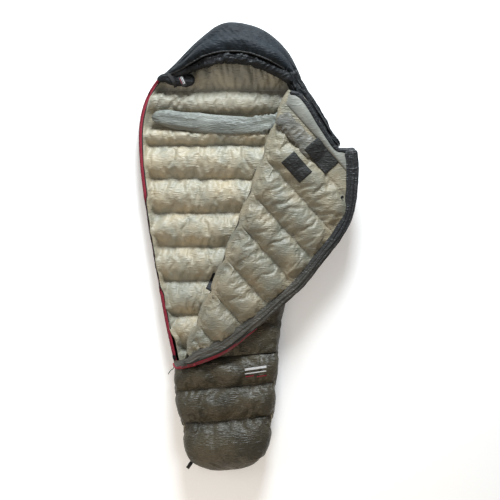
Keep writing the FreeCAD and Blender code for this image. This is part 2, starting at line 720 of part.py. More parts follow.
# ---------------------------------------------------------------- foot hang loop
loop_way = (Vector(*LOOP_TIP, 0) - Vector(*LOOP_ROOT, 0)).normalize()
loop_length = size("loop_length")
web = size("loop_thick")


def stadium(length, height):
    """A slot outline standing on edge: along X, with round ends, about its own middle."""
    bend = height / 2
    reach = length / 2 - bend
    edges = [
        Part.makeLine(Vector(-reach, 0, bend), Vector(reach, 0, bend)),
        Part.Arc(Vector(reach, 0, bend), Vector(reach + bend, 0, 0), Vector(reach, 0, -bend)).toShape(),
        Part.makeLine(Vector(reach, 0, -bend), Vector(-reach, 0, -bend)),
        Part.Arc(Vector(-reach, 0, -bend), Vector(-reach - bend, 0, 0), Vector(-reach, 0, bend)).toShape(),
    ]
    return Part.Face(Part.Wire(edges))


loop_face_section = stadium(loop_length, 5 * web).cut(stadium(loop_length - 2 * web, 3 * web))
loop = doc.addObject("Part::Extrusion", "foot_hang_loop_solid")
loop.Base = feature("foot_hang_loop_section", loop_face_section)
loop.DirMode = "Custom"
loop.Dir = Vector(0, 1, 0)
loop.Solid = True
loop.Symmetric = True
loop.setExpression("LengthFwd", "Sizes.loop_width")
loop_middle = Vector(*LOOP_ROOT, LOOP_HEIGHT) + loop_way * (loop_length / 2 + ease)
loop_angle = math.degrees(math.atan2(loop_way.y, loop_way.x))
loop.Placement = FreeCAD.Placement(loop_middle, FreeCAD.Rotation(Vector(0, 0, 1), loop_angle))
sub_part("foot_hang_loop", loop)

# ---------------------------------------------------------------- check and export
doc.recompute()
os.makedirs("parts", exist_ok=True)
total = 0.0
for node, obj in PARTS.items():
    shape = obj.Shape
    if {"Invalid", "Error"} & set(obj.State) or shape.isNull() or not shape.isValid():
        raise RuntimeError(f"{node}: bad shape")
    shape.exportStep(f"parts/{node}.step")
    total += shape.Volume
    box = shape.BoundBox
    print(f"{node:22s} solids {len(shape.Solids):2d} volume {shape.Volume / 1e6:8.3f} L"
          f"  X {box.XMin:7.1f} {box.XMax:7.1f}  Y {box.YMin:8.1f} {box.YMax:7.1f}  Z {box.ZMin:6.1f} {box.ZMax:6.1f}")
print(f"{len(PARTS)} sub-parts, {total / 1e9:.4f} m3")
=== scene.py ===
import math

import bpy
import numpy as np
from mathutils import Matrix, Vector


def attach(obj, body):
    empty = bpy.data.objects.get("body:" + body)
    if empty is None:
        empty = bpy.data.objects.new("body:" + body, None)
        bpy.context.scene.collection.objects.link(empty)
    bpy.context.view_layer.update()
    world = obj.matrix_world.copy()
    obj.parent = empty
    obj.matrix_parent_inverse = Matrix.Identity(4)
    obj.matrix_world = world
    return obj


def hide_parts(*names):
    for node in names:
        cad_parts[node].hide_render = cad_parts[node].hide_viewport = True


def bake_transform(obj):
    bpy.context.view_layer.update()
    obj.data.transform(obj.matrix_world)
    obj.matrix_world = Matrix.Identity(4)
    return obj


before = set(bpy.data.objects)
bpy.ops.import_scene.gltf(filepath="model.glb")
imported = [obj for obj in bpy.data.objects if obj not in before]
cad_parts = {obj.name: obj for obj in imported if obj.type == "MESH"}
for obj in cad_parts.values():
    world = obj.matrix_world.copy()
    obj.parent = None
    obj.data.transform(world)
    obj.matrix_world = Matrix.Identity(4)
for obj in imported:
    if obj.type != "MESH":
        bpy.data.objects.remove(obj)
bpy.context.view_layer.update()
MM = 0.001

# ---------------------------------------------------------------- plan of the bag, in mm
BODY = [
    (-104, 1076), (60, 1048), (182, 950), (245, 838), (277, 735), (333, 664), (420, 505),
    (458, 330), (417, 104), (300, -80), (196, -220), (158, -400), (138, -640), (123, -832),
    (64, -1014), (-103, -1076), (-266, -1022), (-318, -860), (-350, -690), (-350, -575),
    (-394, -365), (-440, -110), (-481, 130), (-516, 400), (-515, 610), (-458, 765),
    (-349, 878), (-225, 1000),
]
FLAP_NECK = [(202, 739), (264, 711), (346, 582), (417, 477), (460, 462), (517, 466)]
FLAP_ZIP = [
    (517, 466), (522, 355), (499, 156), (436, 32), (355, -71), (261, -190), (169, -272),
    (49, -379), (-99, -498), (-252, -560), (-309, -556),
]
HOOD_SEAM_LINE = [
    (-404, 815), (-335, 835), (-262, 872), (-199, 903), (-113, 922), (-13, 919), (68, 894),
    (156, 853), (212, 815), (256, 782),
]
FOLD_LOW, FOLD_TOP = np.array([-309.0, -556.0]), np.array([202.0, 739.0])
BACK_SEAMS = [-981.5, -818, -654.5, -491, -327.5, -164, -0.5, 163, 326.5, 490]
VALLEY = (575, 640)
HOOD_SEAM = 752
HOOD_LINING_FROM = 665
BACK_STOPS = [-818, *BACK_SEAMS[2:], *VALLEY, HOOD_SEAM, 1028]
FLAP_START = 50
FLAP_SEAMS = [180, 335, 487, 645, 787, 942, 1105]
FLAP_ACROSS = 1246
FRONT_SEAMS = [-512, -365, -215, -60, 100, 260, 420, 580]
FOOT_SEAMS = [-812, -655]
FOOT_ROUND = -985.0
FRONT_TURN = 5.0
FLAP_TURN = -48
FOLD_HEIGHT = 122.0
FOLD_BOW = 14
ZIP_LOW, ZIP_HIGH = -572.0, 814.0
ZIP_LEVEL = 62.0
ZIP_STANDS = (-235, 255)
TAPE = 15.0
ROLL_LEVEL, ROLL_HALF = 145, 15

fold_way = (FOLD_TOP - FOLD_LOW) / np.linalg.norm(FOLD_TOP - FOLD_LOW)
fold_side = np.array([fold_way[1], -fold_way[0]])


# ---------------------------------------------------------------- curves and noise
def lengths_along(line):
    """Each point's distance from the start of a line, along it."""
    return np.concatenate([[0], np.cumsum(np.linalg.norm(np.diff(line, axis=0), axis=1))])


def sampled(line, along, at):
    """The line's points at these distances along it."""
    return np.stack([np.interp(at, along, line[:, k]) for k in range(line.shape[1])], axis=1)


def spline(points, count, closed=False):
    """A Catmull-Rom curve through the points, evenly resampled."""
    p = np.array(points, float)
    if closed:
        p = np.vstack([p[-1:], p, p[:2]])
    else:
        p = np.vstack([2 * p[0] - p[1], p, 2 * p[-1] - p[-2]])
    t = np.linspace(0, 1, 24, endpoint=False)[:, None]
    runs = []
    for a, b, c, d in zip(p[:-3], p[1:-2], p[2:-1], p[3:]):
        square, cube = 2 * a - 5 * b + 4 * c - d, 3 * b - a - 3 * c + d
        runs.append(0.5 * (2 * b + (c - a) * t + square * t**2 + cube * t**3))
    runs.append(p[-2:-1])
    line = np.vstack(runs)
    along = lengths_along(line)
    return sampled(line, along, np.linspace(0, along[-1], count))


def square_to(line):
    """Unit vectors in plan, square to a line and on its right."""
    way = np.gradient(line[:, :2], axis=0)
    way /= np.linalg.norm(way, axis=1)[:, None]
    return np.stack([way[:, 1], -way[:, 0]], axis=1)


def raised(line, height):
    """A plan line lifted to one height."""
    return np.column_stack([line, np.full(len(line), float(height))])


def lattice(ix, iy, iz, seed):
    """A repeatable value between -1 and 1 for each whole-number place."""
    n = (ix * 374761393 + iy * 668265263 + iz * 1440662683 + seed * 974711) & 0xFFFFFFFF
    n = ((n ^ (n >> 13)) * 1274126177) & 0xFFFFFFFF
    return ((n ^ (n >> 16)) & 0xFFFF) / 32767.5 - 1.0


def noise(p, size, seed=0):
    """Smooth value noise between -1 and 1 at points p, with cells of that size."""
    q = np.asarray(p, float) / np.asarray(size, float)
    if q.shape[-1] == 2:
        q = np.concatenate([q, np.full(q.shape[:-1] + (1,), 0.37)], axis=-1)
    cell = np.floor(q).astype(np.int64)
    f = q - cell
    f = f * f * (3 - 2 * f)
    total = 0
    for corner in range(8):
        bits = [(corner >> k) & 1 for k in range(3)]
        weight = 1
        for k in range(3):
            weight = weight * (f[..., k] if bits[k] else 1 - f[..., k])
        total = total + weight * lattice(*[cell[..., k] + bits[k] for k in range(3)], seed)
    return total


def noise_along(values, size, seed):
    """Noise that varies only with one value, such as a distance."""
    return noise(np.stack([values, values * 0], axis=-1), size, seed)


def ridges(p, size, seed=0):
    """Sharp creases: 1 on a crease and falling away on both sides."""
    return 1 - np.abs(noise(p, size, seed)) * 2


def on_tube(along, turn, skew=0.0):
    """Noise places round a tube of radius 30, slanted along it by the skew."""
    a, t = np.broadcast_arrays(along, turn)
    return np.stack([a + skew * np.cos(t), 30 * np.cos(t), 30 * np.sin(t)], axis=-1)


def turned(p, degrees):
    """Plan points in axes turned by that angle."""
    a = math.radians(degrees)
    x, y = p[..., 0], p[..., 1]
    return np.stack([x * math.cos(a) + y * math.sin(a), y * math.cos(a) - x * math.sin(a)], axis=-1)


def steps_between(stops, step):
    """Positions from the first stop to the last, in even steps between stops, and each stop's index."""
    values, marks = [float(stops[0])], [0]
    for a, b in zip(stops[:-1], stops[1:]):
        count = max(2, round((b - a) / step))
        values += list(np.linspace(a, b, count + 1)[1:])
        marks.append(len(values) - 1)
    return np.array(values), marks


def chamber_height(values, stops, power=0.8):
    """0 at each stop and 1 half way between stops."""
    stops = np.array(stops, float)
    at = np.clip(np.searchsorted(stops, values, side="right") - 1, 0, len(stops) - 2)
    t = np.clip((values - stops[at]) / (stops[at + 1] - stops[at]), 0, 1)
    return np.sin(np.pi * t) ** power


def smooth(t):
    """0 up to 0, 1 from 1 on, and a soft step between."""
    t = np.clip(t, 0, 1)
    return t * t * (3 - 2 * t)


def squared_off(turn, power):
    """Places across and up, round an ellipse of half size 1 with fuller corners."""
    return [np.sign(v) * np.abs(v) ** (2 / power) for v in (np.cos(turn), np.sin(turn))]


outline = spline(BODY, 1600, closed=True)


def edge_x(y, side):
    """Where the bag's plan outline lies at y, on the left (-1) or right (+1)."""
    ys, xs = outline[:, 1], outline[:, 0]
    y = np.atleast_1d(y).astype(float)
    found = np.zeros_like(y)
    for k, level in enumerate(y):
        cross = np.nonzero((ys[:-1] - level) * (ys[1:] - level) <= 0)[0]
        here = xs[cross]
        found[k] = here.min() if side < 0 else here.max()
    return found


# ---------------------------------------------------------------- meshes
def grid_faces(rows, columns, wrap=False, flip=False):
    faces = []
    last = columns if wrap else columns - 1
    for r in range(rows - 1):
        for c in range(last):
            d = (c + 1) % columns
            quad = (r * columns + c, r * columns + d, (r + 1) * columns + d, (r + 1) * columns + c)
            faces.append(quad[::-1] if flip else quad)
    return faces


def make_mesh(name, points, faces, material):
    """A smooth mesh object from points in mm, in the shared frame."""
    data = bpy.data.meshes.new(name)
    data.from_pydata((np.asarray(points, float).reshape(-1, 3) * MM).tolist(), [], faces)
    data.update()
    data.shade_smooth()
    obj = bpy.data.objects.new(name, data)
    bpy.context.scene.collection.objects.link(obj)
    data.materials.append(material)
    return obj


def sheet_mesh(name, points, material, wrap=False, flip=False):
    """A mesh from rows and columns of points."""
    return make_mesh(name, points, grid_faces(*points.shape[:2], wrap=wrap, flip=flip), material)


def swept(line, side, section):
    """Points along a line with one column for each (distance to its side, height) of the section."""
    points = np.zeros((len(line), len(section), 3))
    for k, (out, height) in enumerate(section):
        points[:, k, :2] = line[:, :2] + side * (np.zeros(len(line)) + out)[:, None]
        points[:, k, 2] = height
    return points


def points_of(obj):
    co = np.zeros(len(obj.data.vertices) * 3)
    obj.data.vertices.foreach_get("co", co)
    return co.reshape(-1, 3) / MM


def set_points(obj, points):
    obj.data.vertices.foreach_set("co", (np.asarray(points) * MM).ravel())
    obj.data.update()


def finer(obj):
    """One subdivision, applied to the mesh."""
    mod = obj.modifiers.new("Smooth", "SUBSURF")
    mod.levels = mod.render_levels = 1
    graph = bpy.context.evaluated_depsgraph_get()
    data = bpy.data.meshes.new_from_object(obj.evaluated_get(graph))
    obj.modifiers.clear()
    obj.data = data
    return obj


CLOTH_FRAMES = 22
CLOTH_SETTINGS = {
    "quality": 5, "mass": 0.15, "air_damping": 3, "tension_stiffness": 15, "compression_stiffness": 15,
    "shear_stiffness": 5, "bending_stiffness": 0.02, "tension_damping": 10, "compression_damping": 10,
    "shear_damping": 10, "use_pressure": True,
}


def simulate(jobs):
    """Puffs up each (quilt, pressure, extra cloth) as cloth, all in one run."""
    scene = bpy.context.scene
    for (obj, pinned, _), pressure, extra in jobs:
        group = obj.vertex_groups.new(name="pinned")
        group.add([int(i) for i in np.nonzero(pinned.ravel())[0]], 1.0, "REPLACE")
        cloth = obj.modifiers.new("Cloth", "CLOTH")
        for key, value in CLOTH_SETTINGS.items():
            setattr(cloth.settings, key, value)
        cloth.settings.uniform_pressure_force = pressure
        cloth.settings.shrink_min = -extra
        cloth.settings.shrink_max = -extra
        cloth.settings.vertex_group_mass = "pinned"
        cloth.settings.effector_weights.gravity = 0
        cloth.collision_settings.use_collision = False
        cloth.point_cache.frame_start = 1
        cloth.point_cache.frame_end = CLOTH_FRAMES
    for f in range(1, CLOTH_FRAMES + 1):
        scene.frame_set(f)
    graph = bpy.context.evaluated_depsgraph_get()
    for (obj, _, _), *_ in jobs:
        baked = obj.evaluated_get(graph)
        co = np.zeros(len(baked.data.vertices) * 3)
        baked.data.vertices.foreach_get("co", co)
        obj.modifiers.clear()
        set_points(obj, co.reshape(-1, 3) / MM)
    scene.frame_set(1)


# ---------------------------------------------------------------- materials
def node_material(name):
    """A new material, its shader, and functions that add a node and link its output to the shader."""
    mat = bpy.data.materials.new(name)
    mat.use_nodes = True
    tree = mat.node_tree
    shader = tree.nodes["Principled BSDF"]

    def add(kind, links=(), **values):
        node = tree.nodes.new(kind)
        for key, value in values.items():
            if hasattr(node, key):
                setattr(node, key, value)
            else:
                node.inputs[key.replace("_", " ")].default_value = value
        for socket, source in links:
            tree.links.new(source, node.inputs[socket])
        return node

    def link(output, socket):
        tree.links.new(output, shader.inputs[socket])

    def constants(values):
        for socket, value in values.items():
            shader.inputs[socket].default_value = value

    return mat, add, link, constants


CREASE_LAYERS = [(0.7, (26, 95, 60), 0.55), (-0.5, (30, 120, 60), 0.35), (1.4, (60, 200, 90), 0.25)]


def fabric(name, light, dark, rough=0.5, sheen=0.15, crease=0.6, gloss=0.4, painted_light_tint=None, painted_light_tint_span=None):
    """Thin nylon: two mottled tones, soft diagonal creases, a fine weave, and, where given, painted light: a
    slow shift along Y to a cooler, darker tone towards the head end.
    """
    mat, add, link, constants = node_material(name)
    place = add("ShaderNodeTexCoord").outputs["Object"]
    cloud = add("ShaderNodeTexNoise", [("Vector", place)], Scale=9.0, Detail=3.0, Roughness=0.6)
    spread = add("ShaderNodeMapRange", [("Value", cloud.outputs["Fac"])], From_Min=0.35, From_Max=0.65)
    tones = add("ShaderNodeMixRGB", [("Fac", spread.outputs["Result"])],
                Color1=(*dark, 1), Color2=(*light, 1))
    colour = tones.outputs["Color"]
    # painted light: along Y the colour shifts to the given cooler, darker tone, standing in for the cool
    # light at the head end
    if painted_light_tint:
        apart = add("ShaderNodeSeparateXYZ", [("Vector", place)])
        painted_light_ramp = add("ShaderNodeMapRange", [("Value", apart.outputs["Y"])], interpolation_type="SMOOTHSTEP",
                   From_Min=painted_light_tint_span[0], From_Max=painted_light_tint_span[1])
        painted_light_mix = add("ShaderNodeMixRGB", [("Fac", painted_light_ramp.outputs["Result"]), ("Color1", colour)],
                  Color2=(*painted_light_tint, 1))
        colour = painted_light_mix.outputs["Color"]
    height = None
    for angle, scale, share in CREASE_LAYERS:
        turn = add("ShaderNodeMapping", [("Vector", place)], Rotation=(0.0, 0.0, angle), Scale=scale)
        folds = add("ShaderNodeTexNoise", [("Vector", turn.outputs["Vector"])],
                    noise_type="RIDGED_MULTIFRACTAL", Scale=1.0, Detail=2.5, Distortion=0.6)
        scaled = add("ShaderNodeMath", [(0, folds.outputs["Fac"])], operation="MULTIPLY")
        scaled.inputs[1].default_value = share
        layer = scaled.outputs[0]
        if height is not None:
            layer = add("ShaderNodeMath", [(0, height), (1, layer)], operation="ADD").outputs[0]
        height = layer
    creases = add("ShaderNodeBump", [("Height", height)], Strength=crease, Distance=0.007)
    weave = add("ShaderNodeTexWave", [("Vector", place)], Scale=380.0, Distortion=0.4,
                bands_direction="DIAGONAL")
    cloth = add("ShaderNodeBump", [("Height", weave.outputs["Fac"]), ("Normal", creases.outputs["Normal"])],
                Strength=0.12, Distance=0.0002)
    link(cloth.outputs["Normal"], "Normal")
    link(colour, "Base Color")
    constants({"Roughness": rough, "Specular IOR Level": gloss})
    constants({"Sheen Weight": sheen, "Sheen Roughness": 0.4})
    return mat


def plain(name, colour, rough=0.5, metal=0.0, bump=0.0, scale=400.0):
    """One colour with a fine grain."""
    mat, add, link, constants = node_material(name)
    place = add("ShaderNodeTexCoord").outputs["Object"]
    grain = add("ShaderNodeTexNoise", [("Vector", place)], Scale=scale, Detail=2.0)
    relief = add("ShaderNodeBump", [("Height", grain.outputs["Fac"])], Strength=bump, Distance=0.0006)
    link(relief.outputs["Normal"], "Normal")
    constants({"Base Color": (*colour, 1), "Roughness": rough, "Metallic": metal})
    return mat


def webbing(name, colour, rough=0.7, pitch=900.0):
    """Woven tape: fine ribs both ways."""
    mat, add, link, constants = node_material(name)
    place = add("ShaderNodeTexCoord").outputs["Object"]
    ribs = [
        add("ShaderNodeTexWave", [("Vector", place)], Scale=pitch / 6.28, bands_direction=direction)
        for direction in ("X", "Y")
    ]
    both = add("ShaderNodeMath", [(k, ribs[k].outputs["Fac"]) for k in (0, 1)], operation="MULTIPLY")
    relief = add("ShaderNodeBump", [("Height", both.outputs[0])], Strength=0.5, Distance=0.0004)
    link(relief.outputs["Normal"], "Normal")
    shade = add("ShaderNodeMixRGB", [("Fac", both.outputs[0])],
                Color1=(*[c * 0.6 for c in colour], 1), Color2=(*[c * 1.3 for c in colour], 1))
    link(shade.outputs["Color"], "Base Color")
    constants({"Roughness": rough})
    return mat


LINING = fabric("lining", (0.37, 0.315, 0.215), (0.25, 0.245, 0.195), crease=0.8, gloss=0.5)
FLAP_LINING = fabric("flap_lining", (0.255, 0.218, 0.148), (0.165, 0.16, 0.122),
                     sheen=0.12, crease=0.8, gloss=0.5)
HOOD_LINING = fabric("hood_lining", (0.37, 0.345, 0.27), (0.26, 0.255, 0.21), crease=0.9, gloss=0.45)
COLLAR = fabric("collar", (0.18, 0.19, 0.168), (0.122, 0.13, 0.117), crease=0.8)
# the collar's end on the flap: the collar's cloth made darker as painted shade
SHADED_LOBE = fabric("collar_end_painted_shade", (0.165, 0.152, 0.122), (0.085, 0.085, 0.074), crease=0.9)
NECK = fabric("neck_panel", (0.2, 0.2, 0.174), (0.14, 0.143, 0.125), crease=0.5)
# the shell: olive-brown at the foot; its shift along Y to a cool blue charcoal at the head end is painted
# light
SHELL = fabric("shell", (0.064, 0.053, 0.031), (0.034, 0.030, 0.019), rough=0.46, sheen=0.06,
               crease=1.2, gloss=0.42, painted_light_tint=(0.013, 0.017, 0.022), painted_light_tint_span=(0.2, 0.75))
# the draft roll: its shift along Y to a darker cool grey at the head end is painted light, as on the shell
ROLL = fabric("roll_shell", (0.075, 0.068, 0.055), (0.038, 0.037, 0.032), sheen=0.06,
              crease=0.9, gloss=0.35, painted_light_tint=(0.012, 0.013, 0.014), painted_light_tint_span=(-0.25, 0.1))
DARK = fabric("dark_shell", (0.014, 0.015, 0.017), (0.007, 0.008, 0.009), sheen=0.0, crease=0.8, gloss=0.2)
# the hood's shell: dark charcoal fabric, with its blue cast painted in as the cool light at the head end
HOOD_SHELL = fabric("hood_shell", (0.012, 0.016, 0.020), (0.006, 0.008, 0.010),
                    rough=0.55, sheen=0.0, crease=0.9, gloss=0.12)
PATCH = fabric("patch", (0.013, 0.013, 0.012), (0.007, 0.007, 0.006),
               rough=0.6, sheen=0.03, crease=0.9, gloss=0.3)
RED = webbing("zip_red", (0.30, 0.008, 0.03))
BLACK = webbing("zip_black", (0.012, 0.012, 0.012))
COIL = plain("zip_coil", (0.22, 0.008, 0.025), rough=0.35, bump=0.4, scale=260)
METAL = plain("zip_metal", (0.03, 0.03, 0.032), rough=0.3, metal=0.8, bump=0.05)
CORD = webbing("cord", (0.02, 0.02, 0.02))
THREAD = plain("thread", (0.16, 0.15, 0.12), rough=0.7)
DARK_THREAD = plain("dark_thread", (0.02, 0.02, 0.018), rough=0.7)
LABEL = plain("label", (0.02, 0.02, 0.02), rough=0.6, bump=0.2)
MARK = plain("mark", (0.55, 0.55, 0.55), rough=0.5, bump=0.1)


# ---------------------------------------------------------------- building blocks
def tube(name, centre, wide, tall, material, columns=40, end=30.0, folds=None, power=2.0):
    """A closed padded roll along a line, with half widths and half heights, rounded off at both ends."""
    count = len(centre)
    side = square_to(centre)
    along = lengths_along(centre)
    near = np.clip(np.minimum(along, along[-1] - along) / end, 0, 1)
    cap = 0.03 + 0.97 * np.sqrt(1 - (1 - near) ** 2)
    turn = np.linspace(0, 2 * np.pi, columns, endpoint=False)
    across, up = squared_off(turn, power)
    swell = 1 + folds(along[:, None], turn[None, :]) if folds else np.ones((count, columns))
    points = np.zeros((count, columns, 3))
    reach = (np.broadcast_to(wide, count) * cap)[:, None] * across[None, :] * swell
    rise = (np.broadcast_to(tall, count) * cap)[:, None] * up[None, :] * swell
    points[..., :2] = centre[:, None, :2] + side[:, None, :] * reach[..., None]
    points[..., 2] = centre[:, None, 2] + rise
    faces = grid_faces(count, columns, wrap=True, flip=True)
    faces.append(tuple(range(columns)))
    faces.append(tuple(range((count - 1) * columns, count * columns))[::-1])
    return make_mesh(name, points, faces, material)


def crumple(amount, length, girth, seed, extra=0.0):
    """Folds on a tube, in cells that long along it and that wide round it."""
    def swell(along, turn):
        p = on_tube(along, turn)
        folds = amount * (ridges(p, (length, girth, girth), seed) - 0.5)
        return folds + extra * noise(p, (16, 11, 11), seed + 7)
    return swell


def long_folds(along, turn):
    """Flutes that run along a roll, wandering a little, with small crumples across them."""
    a, t = np.broadcast_arrays(along, turn)
    drift = 2.2 * noise_along(a, 140, 27)
    flutes = 0.085 * np.cos(9 * t + drift) + 0.05 * np.cos(17 * t - 2 * drift)
    p = on_tube(a, t)
    return flutes + 0.07 * ridges(p, (70, 13, 13), 23) - 0.02 + 0.05 * noise(p, (15, 12, 12), 28)


STITCH_PITCH, STITCH_LENGTH, STITCH_HALF, STITCH_LIFT = 5.0, 3.2, 0.55, 0.7


def stitches(name, lines, material, gap):
    """A row of short stitches along each line, that gap above it."""
    points, faces = [], []
    for line in lines:
        line = line + (0, 0, gap)
        along = lengths_along(line)
        starts = np.arange(2, along[-1] - STITCH_LENGTH, STITCH_PITCH)
        for a, b in zip(sampled(line, along, starts), sampled(line, along, starts + STITCH_LENGTH)):
            way = (b - a) / max(np.linalg.norm(b - a), 1e-6)
            side = np.array([-way[1], way[0], 0.0]) * STITCH_HALF
            base = len(points)
            for q, drop in ((a, 0.4), (a + way * 0.6, 0.0), (b - way * 0.6, 0.0), (b, 0.4)):
                top = q + np.array([0, 0, STITCH_LIFT - drop])
                points += [top - side, top + np.array([0, 0, 0.35]), top + side]
            for step in (0, 3, 6):
                k = base + step
                faces += [(k, k + 3, k + 4, k + 1), (k + 1, k + 4, k + 5, k + 2)]
    return make_mesh(name, points, faces, material)


TOOTH_PITCH, TOOTH_HALF = 4.2, (1.35, 2.9, 1.9)


def teeth(name, path, up, rows):
    """A row of moulded zip teeth along the rows of a path, with unit vectors up at each of its points."""
    across = np.cross(up, np.gradient(path, axis=0))
    across /= np.linalg.norm(across, axis=1)[:, None]
    along = lengths_along(path[rows])
    at = np.arange(TOOTH_PITCH, along[-1], TOOTH_PITCH)
    where, side, lift = [sampled(v[rows], along, at) for v in (path, across, up)]
    way = np.cross(side, lift)
    points, faces = [], []
    for n in range(len(at)):
        base = len(points)
        axes = [v[n] * size for v, size in zip((way, side, lift), TOOTH_HALF)]
        for z, shrink in ((-1, 1.0), (0.4, 1.0), (1, 0.62)):
            for x, y in ((-1, -1), (1, -1), (1, 1), (-1, 1)):
                points.append(where[n] + axes[0] * x * shrink + axes[1] * y * shrink + axes[2] * z)
        for level in (0, 4):
            for k in range(4):
                low, next_low = base + level + k, base + level + (k + 1) % 4
                faces.append((low, next_low, next_low + 4, low + 4))
        faces.append(tuple(range(base + 8, base + 12)))
    return make_mesh(name, points, faces, COIL)


def slanted_span(angle, level):
    """The least and greatest position where lines turned by that angle cross the bag's outline."""
    q = turned(outline, angle)
    s, w = q[:, 0], q[:, 1]
    low, high = np.zeros(len(level)), np.zeros(len(level))
    for k, value in enumerate(level):
        cross = np.nonzero((w[:-1] - value) * (w[1:] - value) <= 0)[0]
        low[k], high[k] = (s[cross].min(), s[cross].max()) if len(cross) else (0, 0)
    return low, high


def height_over(surface, plan, lift, radius=12.0):
    """A smooth height just above a simulated surface, at points in plan."""
    near = surface.reshape(-1, 3)
    flat = plan.reshape(-1, 2)
    heights = np.zeros(len(flat))
    for k, q in enumerate(flat):
        gap = (near[:, 0] - q[0]) ** 2 + (near[:, 1] - q[1]) ** 2
        weight = np.exp(-gap / (2 * radius**2))
        mean = (weight * near[:, 2]).sum() / weight.sum()
        close = gap < (0.8 * radius) ** 2
        peak = near[close, 2].max() if close.any() else mean
        heights[k] = 0.5 * mean + 0.5 * max(mean, peak) + lift
    return heights.reshape(plan.shape[:-1])


def plan_patch(name, centre, length, width, surface, material, lift=2.5, way=FLAP_TURN, rough=1.0):
    """A flat piece of cloth sewn over a quilt, with its length along a plan direction in degrees."""
    way = np.array([math.cos(math.radians(way)), math.sin(math.radians(way))])
    side = np.array([-way[1], way[0]])
    rows, columns = 26, 34
    across = np.linspace(-width / 2, width / 2, rows)
    along = np.linspace(-length / 2, length / 2, columns)
    plan = np.array(centre) + along[None, :, None] * way + across[:, None, None] * side
    plan += 1.5 * rough * noise(plan, 34, 17)[..., None] * side
    points = np.zeros((rows, columns, 3))
    points[..., :2] = plan
    points[..., 2] = height_over(surface, plan, lift) + rough * ridges(turned(plan, FLAP_TURN), (42, 9), 18)
    points[[0, -1], :, 2] -= 1.5
    points[:, [0, -1], 2] -= 1.5
    return sheet_mesh(name, points, material)


# ---------------------------------------------------------------- quilts: an object, its pins and seam rows
def pins(points, marks):
    """Which points the cloth run holds still: the seam rows and both ends of every row."""
    pinned = np.zeros(points.shape[:2], bool)
    pinned[marks] = True
    pinned[:, [0, -1]] = True
    return pinned


def wobbled(points, marks, sideways, amount, seed):
    """Puckers the seam rows a little: up and down, and across their line."""
    for mark in marks:
        row = points[mark]
        row[:, 2] += amount * noise(row[:, :2], 24, seed + mark)
        shift = 0.7 * amount * noise(row[:, :2], 38, seed + mark + 500)
        row[:, 0] += sideways[0] * shift
        row[:, 1] += sideways[1] * shift


def border_rise(columns, widths, depth, power=0.55):
    """1 over most of each row, falling to 0 at its two ends."""
    s = np.linspace(0, 1, columns)[None, :]
    near = np.minimum(s, 1 - s) * widths[:, None]
    return np.clip(near / depth, 0, 1) ** power


def puckered(points, uv, seams, height, reach, seed, above=-99.0):
    """Short wrinkles that start at each seam and die away on both sides, on points above a height."""
    gap = np.min(np.abs(uv[..., 1][..., None] - np.array(seams)), axis=-1)
    lean = uv[..., 0] + 0.55 * gap * np.sign(noise(uv, 130, seed))
    p = np.stack([lean, gap * 0.5], axis=-1)
    folds = ridges(p, (15, 60), seed + 1) + 0.6 * ridges(p, (8, 40), seed + 2) - 0.7
    rise = height * folds * np.exp(-gap / reach) * smooth(gap / 5)
    points[..., 2] += np.where(points[..., 2] > above, rise, 0)


def simulated(quilt):
    """A quilt's points after the cloth run, as rows and columns."""
    obj, pinned, _ = quilt
    return points_of(obj).reshape(*pinned.shape, 3)


def settled(quilt, points, low, high):
    """Puts a quilt's points back, kept between two heights."""
    points[..., 2] = np.clip(points[..., 2], low, high)
    set_points(quilt[0], points)


# ---------------------------------------------------------------- the back panel
def zip_tilt(y):
    """0 where the zip lies flat and 1 where it stands on edge, between the thighs and the waist."""
    return smooth((y - ZIP_STANDS[0]) / 50) * smooth((ZIP_STANDS[1] - y) / 50)


def zip_inset(y):
    return 14 - 10 * zip_tilt(y)


def back_lining():
    """The back's quilted lining, with a lip up to the zip on its open side."""
    ys, marks = steps_between(BACK_STOPS, 8.5)
    columns = 106
    open_side = smooth((ys + 600) / 60) * smooth((828 - ys) / 50)
    slider_room = 10 * smooth((-415 - ys) / 30)
    left = edge_x(ys, -1) + 40 + (zip_inset(ys) + 3 + slider_room - 40) * open_side
    right = edge_x(ys, 1) - 8 - 26 * smooth((ys - 830) / 60)
    s = np.linspace(0, 1, columns)[None, :]
    points = np.zeros((len(ys), columns, 3))
    points[..., 0] = left[:, None] + (right - left)[:, None] * s
    points[..., 1] = ys[:, None]
    valley = (ys >= VALLEY[0]) & (ys <= VALLEY[1])
    height = np.where(valley, 0, chamber_height(ys, BACK_STOPS))
    inward = points[..., 0] - left[:, None]
    lip = (ZIP_LEVEL - 18) * np.exp(-((inward / 17.0) ** 2)) * open_side[:, None]
    points[..., 2] = 17 + lip + 36 * height[:, None] * border_rise(columns, right - left, 45)
    points[..., 2] += 0.8 * noise(points, 22, 3)
    pinned = pins(points, marks)
    pinned[valley] = True
    wobbled(points, marks, (0, 1), 2.2, 10)
    return sheet_mesh("back_lining_quilt", points, LINING), pinned, marks


GARAGE_CREASES = [
    ((-248, 768), (-352, 660), 9, 7), ((-290, 755), (-385, 668), 6, 6), ((-120, 745), (-150, 690), 5, 6),
    ((60, 742), (40, 690), 5, 6), ((-390, 760), (-410, 690), 6, 6),
]


